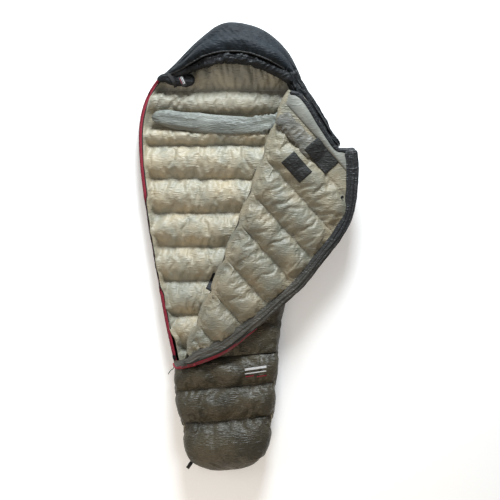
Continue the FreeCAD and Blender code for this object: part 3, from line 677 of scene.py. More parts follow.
def gather_hood_lining(points):
    """Upright gathers where the hood's lining meets the brim, and creases that run down from the garage."""
    x, y = points[..., 0], points[..., 1]
    share = smooth((y - 745) / 50)
    shallow = np.stack([x + 0.2 * (y - 800), 0.2 * y], axis=-1)
    folds = ridges(shallow, (27, 30), 61) * 9 + ridges(shallow, (11, 20), 62) * 3.5
    points[..., 2] += share * (folds - 5.0)
    for (x0, y0), (x1, y1), depth, wide in GARAGE_CREASES:
        way = np.array([x1 - x0, y1 - y0], float)
        length = np.linalg.norm(way)
        way /= length
        along = (x - x0) * way[0] + (y - y0) * way[1]
        off = (x - x0) * way[1] - (y - y0) * way[0] + 5 * noise_along(along, 30, 63)
        fade = smooth((along + 12) / 30) * smooth((length + 12 - along) / 30)
        groove, bank = np.exp(-((off / wide) ** 2)), np.exp(-(((off - 11) / wide) ** 2))
        points[..., 2] -= depth * fade * (groove - 0.5 * bank)


# the shell's side walls from the rim down: (distance in from the edge, share of the wall's height)
LEFT_WALL = [(3.0, 1.0), (1.2, 0.80), (-0.5, 0.55), (0.5, 0.34), (4.0, 0.17), (10.0, 0.07), (18.0, 0.02)]
RIGHT_WALL = [(18.0, 0.03), (9.0, 0.10), (3.0, 0.25), (1.0, 0.5), (2.0, 0.8), (5.0, 1.0)]


def back_shell():
    """The outer shell under the bag, with its two sides up to the zip and to the front panel."""
    ys, _ = steps_between(BACK_STOPS, 11)
    ys = ys[ys > -625]
    under = smooth((ys - 768) / 52)
    foot = smooth((-560 - ys) / 40)
    left = edge_x(ys, -1) + 34 * under + 10 * foot
    right = edge_x(ys, 1) - 34 * under - 10 * foot
    humps = chamber_height(ys, BACK_STOPS, 0.6)
    tilt = zip_tilt(ys)
    rise = ZIP_LEVEL - 1.5 - (ZIP_LEVEL - 28) * under - 34 * foot
    flat_columns = 70
    columns = len(LEFT_WALL) + flat_columns + len(RIGHT_WALL)
    points = np.zeros((len(ys), columns, 3))
    points[..., 1] = ys[:, None]
    for k, (inset, share) in enumerate(LEFT_WALL):
        points[:, k, 0] = left + inset + 5 * (1 - humps) * (1 - share) - 3 * tilt * (share > 0.3) * humps
        points[:, k, 2] = rise * share
    for k, (inset, share) in enumerate(RIGHT_WALL, columns - len(RIGHT_WALL)):
        points[:, k, 0] = right - inset - 5 * (1 - humps) * (1 - share)
        points[:, k, 2] = 44 * share * (1 - 0.4 * under)
    s = np.linspace(0, 1, flat_columns)[None, :]
    a, b = left + 26, right - 26
    middle = slice(len(LEFT_WALL), len(LEFT_WALL) + flat_columns)
    points[:, middle, 0] = a[:, None] + (b - a)[:, None] * s
    points[:, middle, 2] = (7 * (1 - humps) + 6 * foot)[:, None] * border_rise(flat_columns, b - a, 40) + 0.4
    wrinkle = 1.4 * noise(points, (40, 14, 30), 21) + 0.8 * noise(points, (18, 9, 18), 22)
    points[..., 2] += np.abs(wrinkle) * 0.8
    points[..., 0] += wrinkle * (points[..., 2] > 12)
    last = ys > 1012
    points[last, :, 2] = np.maximum(points[last, :, 2], 25 * smooth((ys[last] - 1010) / 18)[:, None])
    return sheet_mesh("back_shell", points, SHELL, flip=True)


# ---------------------------------------------------------------- the foot and the closed front
def front_points(s, vs, z):
    """Points from places along the front panel's slanted rows, the rows' own places, and heights."""
    rows = np.repeat(vs[:, None], s.shape[1], axis=1)
    return np.dstack([turned(np.stack([s, rows], axis=-1), -FRONT_TURN), z])


def foot_quilt():
    """The closed foot of the bag: a padded tube pulled in at its seams and rounded off at the end."""
    end = float(turned(np.array([[-103.0, -1076.0]]), FRONT_TURN)[0, 1]) + 1.5
    body, _ = steps_between([FOOT_ROUND, *FOOT_SEAMS, FRONT_SEAMS[0]], 9)
    tip = FOOT_ROUND + (end - FOOT_ROUND) * np.sin(np.linspace(0, 1, 20)[1:] * np.pi / 2)
    vs = np.concatenate([tip[::-1], body])
    low, high = slanted_span(FRONT_TURN, vs)
    closing = np.clip((FOOT_ROUND - vs) / (FOOT_ROUND - end), 0, 1)
    full = (1 - closing**2.6) ** (1 / 2.6)
    humps = chamber_height(vs, [end, *FOOT_SEAMS, FRONT_SEAMS[0]], 0.7)
    top, bottom = 106 + 34 * humps, 9 * (1 - humps)
    waist = 3 * (1 - humps) * (closing <= 0) - 1 + 3 * smooth((-640 - vs) / 80)
    columns = 104
    across, up = squared_off(np.linspace(0, 2 * np.pi, columns, endpoint=False) + np.pi, 3.0)
    middle, half = (low + high) / 2, (high - low) / 2 - waist
    s = middle[:, None] + half[:, None] * across[None, :]
    z_middle = (top + bottom) / 2 * (1 - 0.25 * closing)
    z_half = (top - bottom) / 2 * np.maximum(full, 0.05)
    z = z_middle[:, None] + z_half[:, None] * up[None, :]
    upper = np.clip(up, 0, 1)[None, :]
    sag = 10 * upper * (1 - np.abs(across)[None, :] ** 2) * (1 - closing[:, None])
    points = front_points(s, vs, np.maximum(z - sag, 0.5))
    points[..., 2] += noise(points, (16, 60, 16), 71) * 2.2 * (1 - humps)[:, None] * upper
    marks = [int(np.argmin(np.abs(vs - v))) for v in reversed(FOOT_SEAMS)] + [len(vs) - 1]
    pinned = points[..., 2] < 6
    pinned[[0, *marks]] = True
    return sheet_mesh("foot_quilt", points, SHELL, wrap=True, flip=True), pinned, marks


def bowed(distance):
    """How far the fold bows towards the flap, at a distance across the flap's seams."""
    return FOLD_BOW * np.sin(np.pi * np.clip(distance / FLAP_ACROSS, 0, 1)) ** 1.5


def fold_span(vs):
    """Where the fold line crosses the front panel's rows, along them."""
    ends = turned(np.array([FOLD_LOW, FOLD_TOP]), FRONT_TURN)
    t = np.clip((vs - ends[0, 1]) / (ends[1, 1] - ends[0, 1]), 0, 1)
    length = np.linalg.norm(FOLD_TOP - FOLD_LOW)
    return ends[0, 0] + (ends[1, 0] - ends[0, 0]) * t + 0.93 * bowed(t * length * 0.891) + 4


def front_quilt():
    """The closed front panel beside the fold, mostly under the open flap, and down its outer side."""
    vs, marks = steps_between(FRONT_SEAMS, 10)
    _, right = slanted_span(FRONT_TURN, vs)
    start = fold_span(vs)
    humps = chamber_height(vs, FRONT_SEAMS)
    corner = np.minimum(34.0, (right - start) / 2)
    flat = np.linspace(0, 1, 56)[None, :]
    bend = np.linspace(math.pi / 2, -0.85, 17)[None, 1:]
    pull = (corner - 4 * (1 - humps))[:, None]
    s = np.hstack([start[:, None] + (right - corner - start)[:, None] * flat,
                   (right - corner)[:, None] + pull * np.cos(bend)])
    z = np.hstack([np.repeat((104 + 7 * humps)[:, None], flat.size, axis=1),
                   62 + (42 + 7 * humps)[:, None] * np.sin(bend)])
    points = front_points(s, vs, z * 0)
    points[..., 2] = z + 0.8 * noise(points, 22, 9)
    pinned = pins(points, marks)
    wobbled(points, marks, (0, 1), 1.6, 80)
    return sheet_mesh("front_quilt", points, SHELL), pinned, marks


def front_lining():
    """The inside of the front panel, over the legs."""
    stops = [-1000, *FOOT_SEAMS, *FRONT_SEAMS]
    vs, _ = steps_between(stops, 14)
    low, high = slanted_span(FRONT_TURN, vs)
    upper = smooth((vs + 575) / 30)
    start = (low + 14) * (1 - upper) + fold_span(vs) * upper
    columns = 44
    s = start[:, None] + (high - 10 - start)[:, None] * np.linspace(0, 1, columns)[None, :]
    z = 86 - (9 * chamber_height(vs, stops))[:, None] * border_rise(columns, high - start, 40)
    points = front_points(s, vs, z)
    points[..., 2] += 1.2 * noise(points, (30, 12, 30), 33)
    return sheet_mesh("front_lining_quilt", points, LINING, flip=True)


# ---------------------------------------------------------------- the flap
seam_turn = math.radians(FLAP_TURN)
seam_way = np.array([math.cos(seam_turn), math.sin(seam_turn)])
seam_side = np.array([-seam_way[1], seam_way[0]])
neck_curve = spline(FLAP_NECK, 300)


def to_seams(p):
    """Plan points as (along the flap's seams, across them), measured from the end of the zip."""
    q = np.asarray(p) - FOLD_LOW
    return np.stack([q @ seam_way, q @ seam_side], axis=-1)


def from_seams(u, v):
    """Plan points from places along the flap's seams and across them."""
    return FOLD_LOW + u[..., None] * seam_way + v[..., None] * seam_side


zip_seams = to_seams(spline(FLAP_ZIP, 900)[::-1])


def flap_ends(v, inset):
    """Where the flap's row at v starts, on the fold, and ends, at a distance in from the zip edge."""
    start = -0.498 * v + 3 + bowed(v) * 1.1
    end = np.interp(v, zip_seams[:, 1], zip_seams[:, 0]) - inset
    return start, end


def flap_plan(inset, columns=76, rows_past=16):
    """The flap's plan: rows along its seams, then rows that swing round from the last seam to the neck."""
    vs, marks = steps_between([FLAP_START, *FLAP_SEAMS], 8)
    start, end = flap_ends(vs, inset)
    u = start[:, None] + (end - start)[:, None] * np.linspace(0, 1, columns)[None, :]
    plan = from_seams(u, np.repeat(vs[:, None], columns, axis=1))
    stop = len(neck_curve) - 1 - int(0.28 * inset)
    top = neck_curve[np.linspace(0, stop, columns).astype(int)]
    t = np.linspace(0, 1, rows_past + 1)[1:, None, None]
    past = plan[-1][None] * (1 - t) + top[None] * t
    return np.concatenate([plan, past]), vs, marks


def flap_panel(name, inset, base, puff, material, flip, seed):
    """One quilted side of the flap, at a base height and puffed up or down."""
    plan, vs, marks = flap_plan(inset)
    rows, columns = plan.shape[:2]
    width = np.linalg.norm(plan[:, -1] - plan[:, 0], axis=1)
    height = np.zeros(rows)
    height[:len(vs)] = chamber_height(vs, [FLAP_START, *FLAP_SEAMS])
    points = np.dstack([plan, base + puff * height[:, None] * border_rise(columns, width, 50)])
    points[..., 2] += 0.8 * noise(points, 22, seed)
    points[len(vs):, :, 2] += 0.2 * puff
    pinned = pins(points, marks)
    pinned[len(vs):] = True
    wobbled(points, marks, seam_side, 2.0, seed + 40)
    return sheet_mesh(name, points, material, flip=flip), pinned, marks


def fold_lining(lining):
    """The lining rolled over the fold in two lobes, down to the back's height."""
    foot_of_fold = 80
    edge = lining[:, 0]
    across = to_seams(edge[:, :2])[:, 1]
    puff = chamber_height(across, [-40, FLAP_START, *FLAP_SEAMS, FLAP_ACROSS], 0.7)
    turn = np.linspace(math.pi / 2, -math.pi / 2, 27)
    points = np.zeros((len(edge), len(turn), 3))
    reach = (13 + 15 * puff) * smooth((across - FLAP_START + 25) / 80) + 2.5 * noise(
        np.stack([across, across * 0, across * 0], axis=-1), 15, 91)
    points[..., 2] = ((edge[:, 2] + foot_of_fold) / 2)[:, None]
    points[..., 2] += ((edge[:, 2] - foot_of_fold) / 2)[:, None] * np.sin(turn)
    pinch = 1 - 0.6 * np.exp(-(((points[..., 2] - FOLD_HEIGHT) / 7) ** 2))
    out = reach[:, None] * np.cos(turn) ** 0.6 * pinch
    points[..., :2] = edge[:, None, :2] - fold_side * out[..., None]
    points[..., :2] += (1.2 * noise(points, 14, 92))[..., None] * fold_side * np.cos(turn)[None, :, None]
    return sheet_mesh("fold_lining", points, FLAP_LINING)


# a leaf's section from the fold line outwards: (distance out, height over the fold)
LEAF = [(-3, 3.0), (0, 4.0), (9, 4.2), (17, 2.5), (26, -3.0), (36, -12.0)]


def fold_leaf(name, side):
    """Shell fabric tucked inside the fold: one leaf stays on the bag (+1), one turns with the flap (-1)."""
    t = np.linspace(0.0, 1.0, 150)
    line = FOLD_LOW + np.outer(t, FOLD_TOP - FOLD_LOW)
    across = t * FLAP_ACROSS
    inside = smooth((across - 30) / 90)
    section = []
    for out, height in LEAF:
        away = out * inside if out < 0 else out + bowed(across) * (out > 5)
        crumpled = height + 0.8 * noise(np.column_stack([across, t * 0 + out]), 16, 93)
        section.append((away, FOLD_HEIGHT + side * crumpled))
    return sheet_mesh(name, swept(line, fold_side, section), SHELL, flip=side < 0)


def roll_line():
    """The zip edge's padded roll: its centre, half widths, outward way and share of length, from the foot."""
    line = spline(FLAP_ZIP, 190)[::-1]
    along = np.linspace(0, 1, len(line))
    half = np.interp(along, [0, 0.06, 0.2, 0.34, 0.8, 1.0], [12, 32, 35, 25, 24, 31])
    out = square_to(line)
    return raised(line - out * (half - 1)[:, None], ROLL_LEVEL), half, out, along


def flap_zip():
    """The zip on the flap's roll: on top at the low end, and turned under along the side."""
    centre, half, out, along = roll_line()
    turned_under = smooth((along - 0.24) / 0.09)
    angle = np.radians(34 - 92 * turned_under)
    squeeze = 1 - 0.55 * smooth(along / 0.26) * (1 - turned_under)
    rows = (along > 0.015) & (along < 0.985)

    def round_roll(where, gap):
        return (half + gap) * np.cos(where), ROLL_LEVEL + (ROLL_HALF + 0.2 + gap) * np.sin(where)

    pieces = []
    for name, spread, material in (("flap_zip_ribbon", (-24, 24), RED), ("flap_zip_edging", (26, 50), BLACK)):
        steps = np.radians(np.linspace(*spread, 5))
        strip = swept(centre, out, [round_roll(angle + step * squeeze, 1.2) for step in steps])
        pieces.append(sheet_mesh(name, strip[rows], material))
    where = angle - math.radians(10)
    path = swept(centre, out, [round_roll(where, 2.4)])[:, 0]
    up = np.column_stack([out * np.cos(where)[:, None], np.sin(where)])
    return *pieces, teeth("flap_zip_teeth", path, up, rows)


# the zip's turn from the back panel up to the flap: plan and height
CORNER = [
    (-353, -556, 67), (-349, -568, 84), (-336, -575, 108), (-312, -572, 127), (-280, -564, 143),
    (-246, -556, 157),
]


def zip_corner():
    """The red tape that turns round the end of the zip, and the cloth that fans out beside it."""
    line = spline(CORNER, 44)
    right = square_to(line)
    section = [(across, line[:, 2] + 3 - 0.06 * across**2) for across in np.linspace(-7, 6, 4)]
    tape = sheet_mesh("zip_corner_tape", swept(line, -right, section), RED)
    fan = np.linspace(0.25, 1, len(line))
    section = [(across * fan, line[:, 2] + 1 - 0.004 * across**2) for across in np.linspace(-4, 60, 6)]
    cloth = swept(line, np.array([0.18, 0.98]), section)
    cloth[..., 2] += 2.2 * ridges(turned(cloth[..., :2], 20), (60, 11), 58)
    return tape, sheet_mesh("zip_corner_cloth", cloth, ROLL)


def collar_folds(along, turn):
    """The collar's crumples, tighter at both ends."""
    p = on_tube(along, turn)
    right = smooth((p[..., 0] - 430) / 120)
    left = smooth((90 - p[..., 0]) / 70)
    folds = 0.07 * noise(p, (60, 26, 26), 35) + 0.10 * ridges(p, (90, 15, 15), 36) - 0.04
    folds = folds + right * (0.28 * ridges(p, (17, 40, 40), 37) - 0.1)
    return folds + left * (0.2 * ridges(p, (26, 13, 13), 34) - 0.06)


COLLAR_LINE = [(-462, 622), (-400, 618), (-330, 606), (-130, 586), (0, 580), (110, 598), (168, 630)]


def draft_collar():
    """The draft collar's half on the back panel, and its end on the flap."""
    line = spline(COLLAR_LINE, 130)
    wide = np.interp(np.linspace(0, 1, 130), [0, 0.12, 0.3, 0.6, 0.85, 1.0], [20, 40, 46, 44, 44, 28])
    half = tube("collar_roll", raised(line, 52), wide, 19, COLLAR, columns=44, end=24,
                folds=collar_folds, power=2.3)
    (start,), (end,) = flap_ends(np.array([1150.0]), 44)
    along = np.linspace(start + 2, start + 12 + 0.5 * (end - start), 70)
    line = from_seams(along, np.full(70, 1130.0))
    lobe = tube("flap_collar_roll", raised(line, 154), 42, 14.5, SHADED_LOBE, columns=48, end=26,
                folds=crumple(0.22, 24, 26, 38, 0.10), power=2.2)
    return half, lobe


def neck_rim():
    """The dark rim along the flap's neck edge."""
    line = spline(FLAP_NECK, 70) + (-7, -9)
    return tube("neck_rim", raised(line, 139), 14, 13, DARK, columns=28, end=12,
                folds=crumple(0.16, 26, 16, 24))


def neck_panel():
    """The padded panel between the neck's rim and the collar."""
    rows, columns = 24, 60
    (start,), (end,) = flap_ends(np.array([1192.0]), 44)
    lower = from_seams(np.linspace(start + 4, end - 4, columns), np.full(columns, 1188.0))
    upper = neck_curve[np.linspace(4, len(neck_curve) - 30, columns).astype(int)] + (-11, -14)
    t = np.linspace(0, 1, rows)[:, None]
    pillow = np.sin(np.pi * t) ** 0.5 * np.sin(np.pi * np.linspace(0, 1, columns))[None, :] ** 0.4
    panel = np.dstack([lower[None] * (1 - t)[..., None] + upper[None] * t[..., None], pillow * 0])
    panel[..., 2] = 147 + 12 * pillow + 1.6 * noise(panel, (50, 30, 30), 39) * pillow
    return sheet_mesh("neck_panel", panel, NECK)


# ---------------------------------------------------------------- the hood
def hood_rim():
    """The crown's outer rim in plan, from its left end round the head to its right end."""
    heights = outline[:, 1]
    right = int(np.argmax(heights < 778))
    left = len(heights) - int(np.argmax(heights[::-1] < 815))
    rim = np.concatenate([outline[left:-1], outline[:right]])
    return spline(rim[::16], 170)


# the rim tucked under the crown: (distance in, height)
CROWN_TUCK = [(-1.5, 34), (0, 22), (5, 11), (13, 4), (24, 2)]
CEILING = 96.0
# where the crown's inside comes down to the floor: (share of the way from seam to rim, height)
CROWN_SKIRT = [(0.72, 90), (0.76, 78), (0.78, 62), (0.79, 46), (0.80, 32), (0.81, 20), (0.82, 11),
               (0.83, 6), (0.84, 4)]


def crown():
    """The padded crown, from the brim's seam over the top to its rim on the floor; its inside; its seam."""
    rim = hood_rim()
    seam = spline(HOOD_SEAM_LINE, 170)
    rows = len(rim)
    b = np.linspace(0, 1, 46)
    ends = np.linspace(0, 1, rows)
    shoulder = smooth(ends / 0.3) * smooth((1 - ends) / 0.26)
    start = 78 + 72 * shoulder
    points = np.zeros((rows, len(b) + len(CROWN_TUCK), 3))
    gap = seam - rim
    width = np.maximum(np.linalg.norm(gap, axis=1), 1.0)
    inward = gap / width[:, None]
    profile = (1 - b**2.6) ** (1 / 2.6)
    for k, share in enumerate(b):
        points[:, k, :2] = seam + (rim - seam) * share
        lift = 17 * math.sin(math.pi * min(share / 0.6, 1)) * np.minimum(width / 90, 1)
        points[:, k, 2] = 42 + (start - 42) * profile[k] + lift
    for k, (inset, height) in enumerate(CROWN_TUCK, len(b)):
        points[:, k, :2] = rim + inward * np.minimum(inset, 0.6 * width)[:, None]
        points[:, k, 2] = height
    u = ends[:, None] * 980
    w = np.concatenate([b, np.linspace(1.02, 1.2, len(CROWN_TUCK))])[None, :] * width[:, None]
    p = np.stack(np.broadcast_arrays(u, w), axis=-1)
    gathers = (ridges(p, (17, 90), 41) * 5 + ridges(p, (9, 60), 45) * 2.5) * np.exp(-w / 20)
    left_end = smooth((0.34 - ends) / 0.25)[:, None]
    long_ones = (ridges(turned(p, 12), (95, 15), 42) * 8 + ridges(turned(p, 5), (60, 8), 47) * 3) * left_end
    right_end = smooth((ends - 0.8) / 0.15)[:, None]
    long_ones = long_ones + ridges(turned(p, -8), (110, 17), 46) * 6 * right_end
    broad = 3.0 * noise(p, (90, 60), 43) + 2.4 * ridges(turned(p, -35), (60, 18), 44)
    z = points[..., 2]
    points[..., 2] = np.minimum(z + (gathers + long_ones + broad) * (z > 12) * np.clip(z / 120, 0, 1), 176)
    shell = sheet_mesh("hood_crown", points, HOOD_SHELL)
    section = [(share, CEILING) for share in np.linspace(0.0, 0.66, 15)] + CROWN_SKIRT
    inner = np.zeros((rows, len(section), 3))
    for k, (share, height) in enumerate(section):
        inner[:, k, :2] = seam + (rim - seam) * share
        inner[:, k, 2] = height * (0.55 + 0.45 * shoulder)
    levels = np.array([share for share, _ in section])
    q = np.stack(np.broadcast_arrays(ends[:, None] * 900, levels[None, :] * 180), axis=-1)
    inner[..., 2] += 3 * ridges(q, (24, 70), 48) * (inner[..., 2] > 8)
    return shell, sheet_mesh("hood_inside", inner, HOOD_LINING, flip=True), points[:, 0]


def brim_gathers(along, turn):
    """The brim's gathers, weaker towards its right end."""
    p, slanted = on_tube(along, turn), on_tube(along, turn, skew=12)
    share = 0.45 + 0.55 * smooth((560 - p[..., 0]) / 240)
    folds = 0.20 * ridges(slanted, (15, 42, 42), 51) + 0.10 * ridges(p, (34, 16, 16), 53) - 0.12
    return folds * share + 0.06 * noise(p, (26, 20, 20), 52)


def brim():
    """The brim hangs from the hood's seam: thin at its ends and gathered by the drawcord inside it."""
    seam = spline(HOOD_SEAM_LINE, 190)[10:-4]
    along = np.linspace(0, 1, len(seam))
    half = np.interp(along, [0, 0.13, 0.28, 0.5, 0.8, 0.93, 1], [9, 19, 27, 29, 27, 25, 15])
    right = square_to(seam)
    centre = raised(seam + right * (half - 3)[:, None], 0)
    centre[:, 2] = np.interp(along, [0, 0.15, 0.35, 0.75, 1], [80, 104, 122, 120, 92])
    return tube("hood_brim_roll", centre, half, np.minimum(half + 3, 31), DARK, columns=60, end=36,
                folds=brim_gathers)


def neck_roll():
    """The padded roll beside the neck, from the hood down to the flap."""
    line = spline([(204, 848), (232, 774), (285, 692), (341, 606), (390, 531), (440, 480)], 96)
    half = np.interp(np.linspace(0, 1, 96), [0, 0.25, 0.7, 1], [31, 35, 30, 15])
    return tube("neck_roll", raised(line, 61), half, 54, DARK, columns=64, end=26,
                folds=long_folds, power=2.4)


def garage():
    """The dark roll that covers the top of the zip."""
    line = spline([(-434, 799), (-394, 806), (-350, 800), (-308, 796), (-252, 800)], 60)
    half = np.interp(np.linspace(0, 1, 60), [0, 0.4, 0.75, 1], [13, 29, 35, 24])
    return tube("garage_roll", raised(line, 79), half, 15, DARK, columns=48, end=20,
                folds=crumple(0.20, 30, 16, 26, 0.06))


label_way = np.array([math.cos(math.radians(-65)), math.sin(math.radians(-65))])
label_side = np.array([-label_way[1], label_way[0]])


def label_strip(name, length, width, offset, height, material):
    """A strip of the woven label on the garage."""
    a = np.linspace(-length / 2, length / 2, 18)
    b = np.linspace(-width / 2, width / 2, 5) + offset
    plan = np.array([-312, 792]) + a[None, :, None] * label_way + b[:, None, None] * label_side
    curl = height - 9.0 * (a / 32)[None, :] ** 2
    return sheet_mesh(name, np.dstack([plan, curl + 0.8 * noise(plan, 26, 31)]), material)


def closure_strap():
    """The strap that closes over the top of the zip."""
    line = spline([(-388, 838), (-372, 815), (-356, 792), (-344, 762)], 40)
    height = 95 + 3 * np.sin(np.linspace(0, 3.14, 40)) - 24 * np.linspace(1, -1, 40) ** 4
    strap = swept(line, -square_to(line), [(across, height) for across in np.linspace(-8, 8, 5)])
    return sheet_mesh("closure_strap_web", strap, BLACK, flip=True)


# ---------------------------------------------------------------- the zip on the back panel
def body_zip():
    """The zip along the open side: its red tape, its black guard above the slider's run, its teeth."""
    y = np.arange(ZIP_LOW, ZIP_HIGH, 7.0)
    line = np.column_stack([edge_x(y, -1), y])
    inward = square_to(line)
    inset, tilt = zip_inset(y), zip_tilt(y) * math.radians(82)
    level = ZIP_LEVEL + 1.0 * noise_along(y, 45, 15)
    flat, steep = np.cos(tilt), np.sin(tilt)
    reaches = TAPE * np.linspace(0, 1, 4)
    section = [(inset - reach * flat, level + 0.3 - reach * steep) for reach in reaches]
    tape = sheet_mesh("body_zip_tape_red", swept(line, inward, section), RED)
    spread = 5 - 1.5 * zip_tilt(y)
    section = [
        (inset + spread * share, level + lift)
        for share, lift in ((-0.05, 0.4), (0.25, 1.8), (0.75, 1.9), (1.05, -0.6))
    ]
    guard = swept(line, inward, section)[y > -412]
    guard = sheet_mesh("body_zip_guard_strip", guard, BLACK, flip=True)
    reach = TAPE * 0.74
    section = [(inset - reach * flat - 1.6 * steep, level - reach * steep + 2.2 * flat)]
    path = swept(line, inward, section)[:, 0]
    up = np.column_stack([-inward * steep[:, None], flat])
    return tape, guard, teeth("body_zip_teeth", path, up, (y > ZIP_LOW + 22) & (y < ZIP_HIGH - 20))


# ---------------------------------------------------------------- the foot's loop and the pull's cord
def foot_loop():
    """The webbing hang loop at the end of the foot."""
    way = np.array([-28.0, -41.0]) / math.hypot(28, 41)
    side = np.array([-way[1], way[0]])
    reach = [-6, 4, 14, 26, 36, 42, 43.5, 42, 36, 26, 14, 4, -6]
    lift = [4, 5, 7, 8.5, 8, 5.5, 0, -5.5, -8, -8.5, -7, -5, -4]
    path = spline(np.column_stack([reach, lift]), 50)
    line = np.array([-264, -1026]) + np.outer(path[:, 0], way)
    section = [(across, 58 + path[:, 1]) for across in np.linspace(-8, 8, 5)]
    web = sheet_mesh("hang_loop_web", swept(line, side, section), BLACK)
    thick = web.modifiers.new("Thickness", "SOLIDIFY")
    thick.thickness = 0.0016
    return web


CORD_POINTS = [(-346.53, -554.59, 72.8), (-353, -584, 72), (-372, -592, 63), (-381, -612, 46)]
CORD_RADIUS = 0.0018


def cord():
    """The slider's pull cord, as a round curve from the pull to its bare end."""
    curve = bpy.data.curves.new("pull_cord", "CURVE")
    curve.dimensions = "3D"
    curve.bevel_depth = CORD_RADIUS
    curve.bevel_resolution = 4
    curve.use_fill_caps = True
    run = curve.splines.new("NURBS")
    run.points.add(len(CORD_POINTS) - 1)
    for point, place in zip(run.points, CORD_POINTS):
        point.co = (*[c * MM for c in place], 1)
    run.order_u = 3
    run.use_endpoint_u = True
    curve.materials.append(CORD)
    obj = bpy.data.objects.new("pull_cord", curve)
    bpy.context.scene.collection.objects.link(obj)
    return obj


def stand_in(obj, body, nodes=()):
    """Hides the CAD nodes a piece stands for, and parents it to its body's empty; hood, fold and corner
    pieces are only baked in place.
    """
    if body == "hood":
        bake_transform(obj)
    elif body == "fold":
        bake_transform(obj)
    elif body == "corner":
        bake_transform(obj)
    else:
        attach(obj, body)
    if nodes:
        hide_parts(*nodes)
    return obj


back = back_lining()
flap = flap_panel("flap_lining_quilt", 44, 141, 26, FLAP_LINING, False, 5)
under = flap_panel("flap_shell_quilt", 20, 139, -8, SHELL, True, 6)
foot = foot_quilt()
front = front_quilt()
simulate([
    (back, 5.0, 0.085), (flap, 5.0, 0.085), (under, 2.0, 0.04), (foot, 4.0, 0.07), (front, 2.0, 0.04),
])

back_top = simulated(back)
gather_hood_lining(back_top)
puckered(back_top, back_top[..., :2], BACK_SEAMS + [VALLEY[0]], 0.9, 26, 101)
settled(back, back_top, 0.3, 200)
flap_top = simulated(flap)
puckered(flap_top, to_seams(flap_top[..., :2]), FLAP_SEAMS, 2.2, 26, 111)
settled(flap, flap_top, 138, 182)
settled(under, simulated(under), 122.5, 142)
front_top = simulated(front)
puckered(front_top, turned(front_top, FRONT_TURN), FRONT_SEAMS, 2.6, 32, 131, above=80)
settled(front, front_top, 15, 118)
foot_all = simulated(foot)
puckered(foot_all, turned(foot_all, FRONT_TURN), FOOT_SEAMS + [FRONT_SEAMS[0]], 3.6, 38, 121, above=70)
settled(foot, foot_all, 0.3, 158)

foot_top = foot_all[:, foot_all.shape[1] // 2 + 1:]
back_thread = stitches("back_stitches", [back_top[m] for m in back[2][1:-1]], THREAD, 0.4)
flap_thread = stitches("flap_stitches", [flap_top[m, 1:-1] for m in flap[2][1:-1]], THREAD, 0.4)
foot_thread = stitches("foot_stitches", [foot_top[m] for m in foot[2][:-1]], DARK_THREAD, 0.3)
front_thread = stitches("front_stitches", [front_top[m] for m in front[2]], DARK_THREAD, 0.3)

back[0].data.materials.append(HOOD_LINING)
for face in back[0].data.polygons:
    face.material_index = int(face.center.y > HOOD_LINING_FROM * MM)
for quilt in (back, flap, under, foot, front):
    finer(quilt[0])

# the back panel
back_nodes = ["back_lining", "back_baffle_walls"] + [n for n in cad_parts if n.startswith("back_down")]
stand_in(back[0], "hood", back_nodes)
stand_in(back_thread, "hood")
stand_in(back_shell(), "hood", ["back_outer_shell", "zip_side_panel"])

# the flap
flap_nodes = ["flap_lining", "flap_baffle_walls", "flap_neck_down"]
flap_nodes += [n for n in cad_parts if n.startswith("flap_down")]
stand_in(flap[0], "flap", flap_nodes)
stand_in(flap_thread, "flap")
stand_in(under[0], "flap", ["flap_outer_shell"])

# the foot and the closed front
foot_nodes = ["foot_outer_shell", "foot_down_01", "foot_down_02", "foot_down_03"]
foot_nodes += ["left_side_panel", "footbox_end_panel"]
stand_in(foot[0], "bag", foot_nodes)
stand_in(foot_thread, "bag")
front_nodes = ["front_upper_shell", "front_upper_down_01", "front_upper_down_02", "front_baffle_walls"]
front_nodes += ["right_side_panel"]
stand_in(front[0], "bag", front_nodes)
stand_in(front_thread, "bag")
stand_in(front_lining(), "bag", ["front_lining"])

# the fold, the roll and the flap's zip
stand_in(finer(fold_lining(flap_top)), "fold", ())
stand_in(fold_leaf("fold_shell", 1), "bag", ())
stand_in(fold_leaf("fold_shell_flap", -1), "flap", ())
roll_centre, roll_half, _, _ = roll_line()
roll = tube("draft_roll", roll_centre, roll_half, ROLL_HALF, ROLL, columns=72, end=24, folds=long_folds)
stand_in(finer(roll), "flap", ["draft_tube"])
ribbon, edging, flap_teeth = flap_zip()
stand_in(ribbon, "flap", ["flap_zip_tape"])
stand_in(edging, "flap", ["flap_zip_guard"])
stand_in(flap_teeth, "flap", ["flap_zip_coil"])
corner_tape, corner_cloth = zip_corner()
stand_in(corner_tape, "corner")
stand_in(corner_cloth, "corner")
# a dark patch laid on the back lining beside the fold's low end
dark_patch = plan_patch("dark_fold_patch", (-172, -168), 84, 26, back_top, DARK, lift=3.0, way=66)
stand_in(dark_patch, "bag")

foot_crest = foot_all[foot_all[..., 2] > 70]
for n, (at, wide, deep, colour) in enumerate([
    ((38, -576), 104, 11, MARK), ((38, -596), 104, 5, MARK),
    ((66, -614), 48, 5, RED), ((10, -614), 40, 5, RED),
]):
    bar = plan_patch(f"foot_mark_{n}", at, wide, deep, foot_crest, colour, lift=1.6, way=8, rough=0.0)
    stand_in(bar, "bag")

